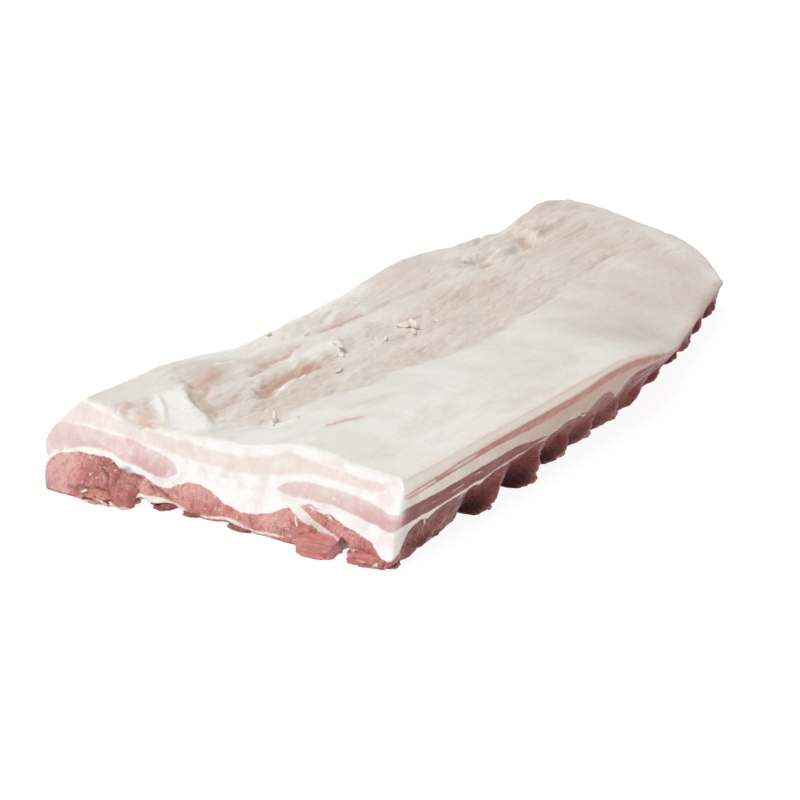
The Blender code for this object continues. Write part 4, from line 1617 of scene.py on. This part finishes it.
class CutSurfaces:
    """Tissues, painted shade and relief of the cut faces, the back side and the underside."""

    def __init__(self, seed: int) -> None:
        """Starts the surfaces' noise.

        Args:
            seed: Start of the random numbers.
        """
        self.noise = GradientNoise(seed)

    def measures(self, points: SlabPoints) -> dict[str, tuple[Array, Array, Array]]:
        """Measures every tissue, and the painted shade, at every vertex.

        Args:
            points: The slab's vertices.

        Returns:
            Three measures for each attribute of the mesh.
        """
        along, across, depth = points.along / MM, points.across / MM, points.layer_depth_mm
        on_end = points.share_along == 0.0
        on_belly = points.share_across == 0.0
        pale_offset, pale_half = PALE_STREAK.measure(points, self.noise)
        pink_offset, pink_half = PINK_STREAK.measure(points, self.noise)
        red = depth - LEAN_TOP.depth(points, self.noise)
        membrane = np.full(len(along), -9.0)
        for line in END_CUT_MEMBRANES:
            membrane = np.where(on_end, np.maximum(membrane, line.inside(across, depth)), membrane)
        for line in BELLY_CUT_MEMBRANES:
            membrane = np.where(on_belly & ~on_end, np.maximum(membrane, line.inside(along, depth)), membrane)
        seam = np.zeros(len(along))
        for line in END_CUT_SEAMS:
            distance = line.closest(across, depth)[0]
            seam = np.where(on_end, np.maximum(seam, np.exp(-((distance / 0.9) ** 2))), seam)
        belly = np.exp(-np.maximum(points.inside_belly, 0.0) / 0.010) * (1.0 - np.exp(-np.maximum(along, 0.0) / 3.0))
        rosy_right = smoothstep(60.0, 18.0, across) * smoothstep(19.0, 27.0, depth)
        rosy_left = bell(across, 176.0, 14.0) * smoothstep(15.0, 22.0, depth)
        rosy_middle = bell(across, 205.0, 22.0) * smoothstep(18.0, 23.0, depth)
        rosy = np.clip(0.9 * rosy_right + 0.85 * rosy_left + 0.7 * rosy_middle, 0.0, 1.0)
        # Painted shade: dark in the recesses between the rib fingers, in the belly cut's lowest band and over the whole
        # underside.
        under = (points.share_up == 0.0).astype(float)
        low, lowest = smoothstep(39.0, 48.0, depth), smoothstep(40.0, 52.0, depth)
        line, place = SlabForm.finger_line, points.finger_place / MM
        recess = smoothstep(1.5, 7.0, np.maximum(through(line, place), through(line, place - 4.0)))
        painted_shade = np.clip(belly * (0.22 * lowest + 0.80 * recess * low) + 0.60 * under, 0.0, 0.9)
        split = (1.0 - smoothstep(0.2, 0.75, np.abs(pale_offset))) * belly * (1.0 - smoothstep(62.0, 96.0, along))
        blotch = 0.5 + 0.8 * self.noise.stretched(along, across, depth, (18.0, 15.0, 11.0), 2)
        oval = bell(across, 236.0, 16.0) * (0.65 + 0.35 * smoothstep(44.0, 34.0, depth))
        lens_top = bell(across, 148.0, 22.0) * smoothstep(43.0, 33.0, depth)
        lighter = np.clip(0.95 * oval + 0.5 * lens_top + 0.45 * bell(across, 92.0, 14.0), 0.0, 1.0) * (1.0 - belly)
        deeper = 0.95 * bell(across, 206.0, 13.0) * smoothstep(48.0, 33.0, depth) + 0.5 * bell(across, 187.0, 9.0)
        deeper = deeper + 0.35 * smoothstep(56.0, 30.0, across) + 0.55 * smoothstep(42.0, 50.0, depth)
        deeper = np.clip(np.where(belly > 0.5, 0.35 + 0.45 * blotch, deeper * (0.55 + 0.7 * blotch)), 0.0, 1.0)
        return {
            # The belly weights in pale_streak and tone switch to the belly cut's darker colours, partly painted shade.
            "pale_streak": (pale_offset, pale_half, belly),
            "pink_streak": (pink_offset, pink_half, rosy),
            "lean": (red, membrane, seam),
            "shade": (painted_shade, split, points.opening),
            "tone": (lighter, deeper, belly),
        }

    def raise_relief(self, points: SlabPoints, measures: dict[str, tuple[Array, Array, Array]]) -> None:
        """Moves the cut faces out and in, so that lean swells between the fat and its seams sink.

        Args:
            points: The slab's vertices, moved in place.
            measures: The tissues at every vertex.
        """
        along, across, up = points.along / MM, points.across / MM, points.height / MM
        red, membrane, seam = measures["lean"]
        pink_offset, pink_half, _ = measures["pink_streak"]
        in_red = smoothstep(-0.8, 2.5, red)
        in_pink = smoothstep(-1.0, 1.5, pink_half - np.abs(pink_offset))
        in_membrane = smoothstep(-0.8, 0.6, membrane)
        lumps = self.noise.stretched(along, across, up, (16.0, 11.0, 8.0), 3)
        knots = self.noise.stretched(along, across, up, (7.0, 4.5, 4.0), 2)
        shallow = self.noise.stretched(along, across, up, (40.0, 24.0, 12.0), 2)
        near_belly = np.exp(-np.maximum(points.inside_belly, 0.0) / 0.005)
        strips = self.noise.stretched(along, across, up, (40.0, 9.0, 2.2), 2)
        calm = 1.0 - 0.45 * near_belly * smoothstep(46.0, 34.0, points.depth_mm)
        rough = 0.45 + 0.55 * near_belly
        swell = in_red * (0.5 + calm * rough * (1.7 * lumps + 0.9 * knots))
        swell += in_pink * (0.25 + 0.35 * knots + 0.35 * strips)
        swell = swell * (1.0 - 0.75 * in_membrane) + 0.45 * shallow - 0.9 * seam
        lower = smoothstep(36.0, 50.0, points.depth_mm)
        ragged = self.noise.stretched(along, across, up, (8.0, 7.0, 6.0), 3)
        leaning = along + 0.9 * points.depth_mm
        creases = np.abs(self.noise.stretched(leaning, across, up, (7.0, 9.0, 16.0), 2))
        creases = np.maximum(1.0 - creases / 0.16, 0.0) * smoothstep(1.0, 6.0, red)
        end_fade = np.exp(-np.maximum(points.inside_end, 0.0) / 0.005)
        belly_fade = np.exp(-np.maximum(points.inside_belly, 0.0) / 0.005)
        back_fade = np.exp(-np.maximum(1.0 - points.share_across, 0.0) * 40.0)
        flank_fade = np.exp(-np.maximum(1.0 - points.share_along, 0.0) * 90.0)
        guard = smoothstep(0.3, 3.0, points.depth_mm)
        points.along = points.along - MM * guard * end_fade * (swell + 0.8 * lower * ragged)
        torn = 1.8 * lower * ragged - 1.6 * creases
        points.across = points.across - MM * guard * belly_fade * (1.0 * swell + torn)
        points.across = points.across + MM * guard * back_fade * (1.0 * swell + 1.0 * lower * ragged)
        points.along = points.along + MM * guard * flank_fade * (1.0 * swell + 1.0 * lower * ragged)
        under = (points.share_up == 0.0) * smoothstep(0.0, 3.0, points.height / MM + 1.0)
        points.height = points.height + MM * under * 0.9 * np.abs(lumps) * smoothstep(0.2, 1.0, points.opening + 0.2)


# ---------------------------------------------------------------------------------------------------------------
# Small pieces
# ---------------------------------------------------------------------------------------------------------------


@dataclass(frozen=True)
class Morsel:
    """A small piece of muscle or fat: a rounded, torn lump of its own size and turn."""

    name: str
    middle_mm: Triple
    half_mm: Triple
    tone: Tone
    turn: Triple = (0.0, 0.0, 0.0)
    squareness: float = 1.0
    torn: float = 0.22
    torn_cells: float = 1.7
    ridges: float = 0.0
    ridge_count: float = 9.0
    seed: int = 1
    divisions: int = 4

    def build(self, middle: Array, material: bpy.types.Material) -> bpy.types.Object:
        """Builds the piece.

        Args:
            middle: The middle of the slab's footprint in its own axes.
            material: The piece's finish.

        Returns:
            The piece, in its place on the slab.
        """
        ball = bmesh.new()
        bmesh.ops.create_icosphere(ball, subdivisions=self.divisions, radius=1.0)
        unit = np.array([vertex.co for vertex in ball.verts])
        noise = GradientNoise(self.seed)
        shape = np.sign(unit) * np.abs(unit) ** self.squareness
        rough = sum(noise.at(unit * self.torn_cells * 2.0**k + 9.1 * k) * 0.55**k for k in range(4))
        around = np.arctan2(unit[:, 2], unit[:, 1])
        ridges = np.sin(self.ridge_count * around + 2.0 * noise.at(unit * 1.5 + 4.0))
        swell = 1.0 + self.torn * rough + self.ridges * ridges * (1.0 - unit[:, 0] ** 2)
        placed = shape * swell[:, None] * np.array(self.half_mm)
        for vertex, place in zip(ball.verts, placed):
            vertex.co = place
        turned = Matrix.Rotation(math.radians(self.turn[2]), 4, "Z")
        turned = turned @ Matrix.Rotation(math.radians(self.turn[1]), 4, "Y")
        turned = turned @ Matrix.Rotation(math.radians(self.turn[0]), 4, "X")
        where = Vector(self.middle_mm) * MM - Vector((middle[0], middle[1], 0.0))
        bmesh.ops.transform(ball, matrix=Matrix.Translation(where) @ turned @ Matrix.Scale(MM, 4), verts=ball.verts)
        for vertex in ball.verts:
            vertex.co.z = max(vertex.co.z, 0.0002)
        bmesh.ops.recalc_face_normals(ball, faces=ball.faces)
        mesh = bpy.data.meshes.new(self.name)
        ball.to_mesh(mesh)
        ball.free()
        mesh.materials.append(material)
        mesh.shade_smooth()
        piece = bpy.data.objects.new(self.name, mesh)
        bpy.context.scene.collection.objects.link(piece)
        return piece


@dataclass(frozen=True)
class EndCutMorsels:
    """The pieces of muscle and fat that stand out of the end cut, by the table."""

    def pieces(self) -> tuple[Morsel, ...]:
        """Lists the pieces."""
        return (
            Morsel("muscle_stub", (-9.0, 51.0, 5.9), (12.4, 9.8, 6.0), Tone.BRIGHT_MUSCLE, (0, 0, 98), 0.55, 0.16, 1.6,
                   0.06, 9.0, 3),
            Morsel("stub_cap", (-8.0, 60.5, 10.4), (6.4, 5.0, 3.8), Tone.BRIGHT_MUSCLE, (12, 0, 100), 0.8, 0.38, 2.2,
                   0.05, 8.0, 4),
            Morsel("corner_lump", (-4.6, 21.0, 3.7), (12.5, 7.0, 4.4), Tone.BRIGHT_MUSCLE, (-4, 4, 94), 0.8, 0.42, 2.1,
                   0.05, 8.0, 5),
            # The corner tip takes the darker muscle, painted shade under the corner.
            Morsel("corner_tip", (-1.0, 8.5, 2.0), (4.6, 4.6, 2.0), Tone.SHADE_PAINTED_MUSCLE, (0, 0, 12), 0.8, 0.34, 2.2,
                   0.0, 7.0, 6),
            Morsel("corner_fat_bit", (-8.8, 13.5, 3.6), (1.3, 2.0, 1.9), Tone.CREAM_FAT, (0, 20, 0), 0.9, 0.50, 2.6,
                   0.0, 7.0, 7, 3),
            Morsel("back_nub", (-19.0, 184.5, 6.4), (8.0, 9.0, 6.9), Tone.NUB_MUSCLE, (-14, 0, -12), 0.80, 0.34, 1.5,
                   0.05, 5.0, 8),
            Morsel("nub_skin", (-22.5, 185.0, 2.0), (4.8, 7.6, 2.0), Tone.SINEW, (0, 12, -8), 0.85, 0.26, 1.9,
                   0.0, 6.0, 9),
            Morsel("ragged_flap", (-22.0, 203.0, 3.6), (11.5, 6.0, 3.4), Tone.RAGGED_MUSCLE, (6, 8, 80), 0.95, 0.42, 2.6,
                   0.05, 11.0, 10),
            Morsel("ragged_strand_one", (-27.5, 205.0, 5.2), (7.5, 1.3, 1.3), Tone.RAGGED_MUSCLE, (0, 14, 76), 0.95, 0.5,
                   2.8, 0.0, 7.0, 11, 3),
            Morsel("ragged_strand_two", (-27.0, 197.0, 3.6), (6.5, 1.2, 1.1), Tone.SINEW, (0, -16, 96), 0.95, 0.5,
                   2.8, 0.0, 7.0, 16, 3),
            Morsel("ragged_strand_three", (-28.0, 211.0, 3.2), (6.0, 1.1, 1.1), Tone.RAGGED_MUSCLE, (0, 22, 64), 0.95, 0.5,
                   2.8, 0.0, 7.0, 17, 3),
            Morsel("ragged_strand_four", (-28.0, 202.0, 1.9), (7.0, 1.2, 1.2), Tone.RAGGED_MUSCLE, (0, 6, 84), 0.95, 0.55,
                   2.8, 0.0, 7.0, 18, 3),
            Morsel("ragged_strand_five", (-27.0, 208.5, 6.6), (4.5, 1.0, 1.0), Tone.SINEW, (0, 30, 70), 0.95, 0.5,
                   2.8, 0.0, 7.0, 19, 3),
            Morsel("ragged_fat_bit", (-28.6, 207.0, 1.5), (3.2, 1.2, 1.1), Tone.CREAM_FAT, (10, 10, 80), 0.9, 0.50, 2.4,
                   0.0, 7.0, 12, 3),
            # Flaps of darker muscle in the gaps under the end cut, standing for the shadow there: painted shadow.
            Morsel("shadow_flap_one", (-8.0, 161.5, 2.2), (6.0, 7.6, 1.9), Tone.SHADE_PAINTED_MUSCLE, (-8, 0, 6), 0.85, 0.34, 2.0,
                   0.0, 7.0, 13),
            Morsel("shadow_flap_two", (-6.5, 143.0, 1.3), (5.0, 6.6, 1.2), Tone.SHADE_PAINTED_MUSCLE, (-4, 0, 4), 0.85, 0.34, 2.0,
                   0.0, 7.0, 14),
            Morsel("shadow_flap_three", (-6.5, 108.0, 1.2), (5.0, 9.0, 1.2), Tone.SHADE_PAINTED_MUSCLE, (2, 0, 0), 0.85, 0.36, 2.0,
                   0.0, 7.0, 15),
        )


@dataclass(frozen=True)
class FingerTip:
    """One torn tip of a rib finger, by its place along the slab and its share of the depth."""

    along_mm: float
    depth: float
    inset_mm: float
    half_mm: Triple
    turn: float
    # Finger tips take the darker muscle, painted shade under the belly cut.
    tone: Tone = Tone.SHADE_PAINTED_MUSCLE


@dataclass(frozen=True)
class RibFingers:
    """The torn tips of the rib fingers, which hang out under the belly cut."""

    tips: tuple[FingerTip, ...] = (
        FingerTip(16.0, 0.88, 6.0, (6.0, 4.0, 5.0), -10.0),
        FingerTip(38.0, 0.90, 6.0, (6.5, 4.0, 4.6), 6.0),
        FingerTip(93.0, 0.94, 4.6, (5.4, 4.2, 3.6), -14.0),
        FingerTip(98.0, 0.98, 2.4, (3.2, 2.4, 1.4), 20.0),
        FingerTip(146.0, 0.94, 4.4, (5.0, 4.0, 3.8), 10.0),
        FingerTip(151.0, 0.98, 1.8, (3.0, 2.2, 1.3), 16.0),
        FingerTip(192.0, 0.94, 4.6, (5.4, 4.2, 3.6), 0.0),
        FingerTip(230.0, 0.94, 5.6, (6.0, 4.4, 3.6), 12.0),
        FingerTip(266.0, 0.94, 6.0, (6.4, 4.6, 3.6), -8.0),
    )

    def pieces(self, form: SlabForm) -> tuple[Morsel, ...]:
        """Lists the tips, each seated in its finger.

        Args:
            form: The slab's outline.

        Returns:
            The tips.
        """
        made = []
        for number, tip in enumerate(self.tips, 1):
            along, depth = np.array([tip.along_mm * MM]), np.array([tip.depth])
            face = form.belly_outline(along, depth, np.zeros(1)) + form.finger_offset(along, depth)
            across = float(face[0]) / MM + tip.inset_mm
            up = float(form.fat_height(along, face)[0]) / MM * (1.0 - tip.depth)
            made.append(
                Morsel(f"finger_tip_{number}", (tip.along_mm, across, max(up, tip.half_mm[2] - 0.6)), tip.half_mm,
                       tip.tone, (10, 0, tip.turn), 0.8, 0.30, 1.5, 0.03, 6.0, 20 + number)
            )
        return tuple(made)


@dataclass(frozen=True)
class FatTags:
    """The tags and strands of fat that the knife left on top."""

    def pieces(self, height: Callable[[float, float], float]) -> tuple[Morsel, ...]:
        """Lists the tags.

        Args:
            height: Gives the height of the fat in mm at a place in mm.

        Returns:
            The tags, each resting in the fat.
        """
        rows = (
            ("torn_tag", 231.0, 151.5, (5.4, 2.6, 2.6), Tone.CREAM_FAT, 65.0, 1.4, 61, 0.42),
            ("torn_tag_foot", 223.5, 146.0, (5.4, 1.9, 1.0), Tone.CREAM_FAT, 40.0, 0.3, 62, 0.42),
            ("torn_tag_head", 239.5, 158.5, (5.6, 1.4, 1.4), Tone.CREAM_FAT, 24.0, 1.0, 63, 0.42),
            ("torn_tag_arm", 227.0, 156.5, (4.4, 1.3, 1.2), Tone.CREAM_FAT, 110.0, 0.8, 60, 0.42),
            ("hollow_strand", 171.0, 168.5, (8.8, 2.3, 1.1), Tone.CREAM_FAT, 58.0, 0.4, 64, 0.42),
            ("strand_end", 162.5, 159.5, (5.4, 2.0, 0.7), Tone.CREAM_FAT, 40.0, 0.1, 65, 0.42),
            ("tongue_tag", 177.0, 198.0, (3.4, 1.2, 0.7), Tone.CREAM_FAT, 15.0, 0.1, 66, 0.40),
            ("hollow_crumb", 139.5, 145.0, (3.8, 1.6, 0.7), Tone.CREAM_FAT, 10.0, 0.0, 67, 0.42),
            ("low_tag_one", 200.0, 158.5, (5.6, 1.2, 0.8), Tone.CREAM_FAT, 48.0, 0.2, 68, 0.42),
            ("low_tag_two", 205.0, 155.0, (5.0, 1.0, 0.7), Tone.CREAM_FAT, 34.0, 0.2, 69, 0.42),
            ("far_tag", 252.0, 147.5, (3.6, 1.2, 0.8), Tone.CREAM_FAT, 60.0, 0.2, 70, 0.42),
            ("far_crumb", 262.0, 150.0, (3.0, 1.0, 0.6), Tone.CREAM_FAT, 20.0, 0.1, 71, 0.42),
            ("yellow_crumb", 162.0, 217.0, (2.8, 1.5, 0.8), Tone.YELLOW_FAT, 20.0, 0.1, 72, 0.42),
            ("spur", 41.5, 120.0, (2.4, 1.2, 4.4), Tone.CREAM_FAT, 42.0, 2.4, 73, 0.45),
            ("spur_foot", 42.0, 116.5, (6.4, 2.8, 0.9), Tone.CREAM_FAT, 8.0, 0.0, 74, 0.45),
            ("spur_side", 37.5, 118.5, (3.6, 1.4, 1.8), Tone.CREAM_FAT, 40.0, 0.6, 76, 0.45),
            ("spur_crumb", 52.0, 112.5, (4.0, 1.4, 0.6), Tone.CREAM_FAT, 20.0, 0.0, 77, 0.42),
        )
        return tuple(
            Morsel(name, (along, across, height(along, across) + lift), half, tone, (0, 0, turn), 1.0, torn, 2.2,
                   0.0, 7.0, seed, 4)
            for name, along, across, half, tone, turn, lift, seed, torn in rows
        )


# ---------------------------------------------------------------------------------------------------------------
# The studio
# ---------------------------------------------------------------------------------------------------------------


@dataclass(frozen=True)
class Studio:
    """A pale floor, one large soft light from the end cut's side, and light from all around."""

    floor_size: float = 14.0
    floor_colour: Paint = srgb(108, 108, 108)
    floor_glow: float = 0.90
    sky_colour: Paint = srgb(250, 250, 252)
    sky_strength: float = 0.46
    key_strength: float = 1.95
    key_angle: float = math.radians(30.0)
    key_from: Triple = (-0.50, 0.10, 0.86)

    def floor(self) -> None:
        """Lays the floor."""
        sheet = bmesh.new()
        bmesh.ops.create_grid(sheet, x_segments=1, y_segments=1, size=0.5 * self.floor_size)
        mesh = bpy.data.meshes.new("studio_floor")
        sheet.to_mesh(mesh)
        sheet.free()
        graph = Graph("pale_floor")
        graph.shader.inputs["Base Color"].default_value = self.floor_colour
        graph.shader.inputs["Roughness"].default_value = 0.9
        graph.shader.inputs["Emission Color"].default_value = srgb(255, 255, 255)
        graph.shader.inputs["Emission Strength"].default_value = self.floor_glow
        mesh.materials.append(graph.material)
        floor = bpy.data.objects.new("studio_floor", mesh)
        bpy.context.scene.collection.objects.link(floor)

    def lights(self) -> None:
        """Hangs the key light and lights the room."""
        sun = bpy.data.lights.new("key_light", "SUN")
        sun.energy, sun.angle = self.key_strength, self.key_angle
        sun.color = (1.0, 0.985, 0.965)
        key = bpy.data.objects.new("key_light", sun)
        key.rotation_euler = Vector(self.key_from).to_track_quat("Z", "Y").to_euler()
        bpy.context.scene.collection.objects.link(key)
        world = bpy.data.worlds.new("studio_room")
        bpy.context.scene.world = world
        world.use_nodes = True
        background = world.node_tree.nodes["Background"]
        background.inputs["Color"].default_value = self.sky_colour
        background.inputs["Strength"].default_value = self.sky_strength

    def build(self) -> None:
        """Builds the studio and sets the plain view transform."""
        self.floor()
        self.lights()
        bpy.context.scene.view_settings.view_transform = "Standard"


@dataclass(frozen=True)
class Viewpoint:
    """The camera's place, its heading and its lens."""

    place: Triple = (-1.17962, -0.74778, 0.50547)
    pitch_down: float = math.radians(20.2293)
    heading: float = math.radians(-55.5499)
    lens_mm: float = 100.0
    sensor_mm: float = 36.0

    def build(self) -> None:
        """Sets up the camera."""
        camera = bpy.data.cameras.new("camera")
        camera.lens, camera.sensor_width = self.lens_mm, self.sensor_mm
        holder = bpy.data.objects.new("camera", camera)
        holder.location = self.place
        holder.rotation_euler = (0.5 * math.pi - self.pitch_down, 0.0, self.heading)
        bpy.context.scene.collection.objects.link(holder)
        bpy.context.scene.camera = holder


# ---------------------------------------------------------------------------------------------------------------
# Putting it together
# ---------------------------------------------------------------------------------------------------------------


def show(piece: bpy.types.Object) -> None:
    """Ties a piece to the slab's body, and reports it."""
    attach(piece, BODY)
    log.info("%s: %d faces", piece.name, len(piece.data.polygons))


def main() -> None:
    """Builds the camera, the studio, the slab and its small pieces."""
    logging.basicConfig(level=logging.INFO, format="%(name)s: %(message)s")
    Viewpoint().build()
    Studio().build()
    larder = Larder()
    form = SlabForm()
    slab = PorkSlab(form)
    top = TopSurface(seed=5)
    body = slab.build(top, CutSurfaces(seed=8), larder.slab)
    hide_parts(NODE)
    show(body)
    middle = slab.middle()

    def fat_height_mm(along: float, across: float) -> float:
        """Gives the height of the top fat at a place, all in mm."""
        spot = SlabPoints(*np.zeros((3, 1)), along=np.array([along * MM]), across=np.array([across * MM]))
        return float(form.fat_height(spot.along, spot.across)[0]) / MM + float(top.relief(spot)[0])

    morsels = EndCutMorsels().pieces() + RibFingers().pieces(form) + FatTags().pieces(fat_height_mm)
    for morsel in morsels:
        show(morsel.build(middle, larder.tones[morsel.tone]))


if __name__ == "__main__":
    main()
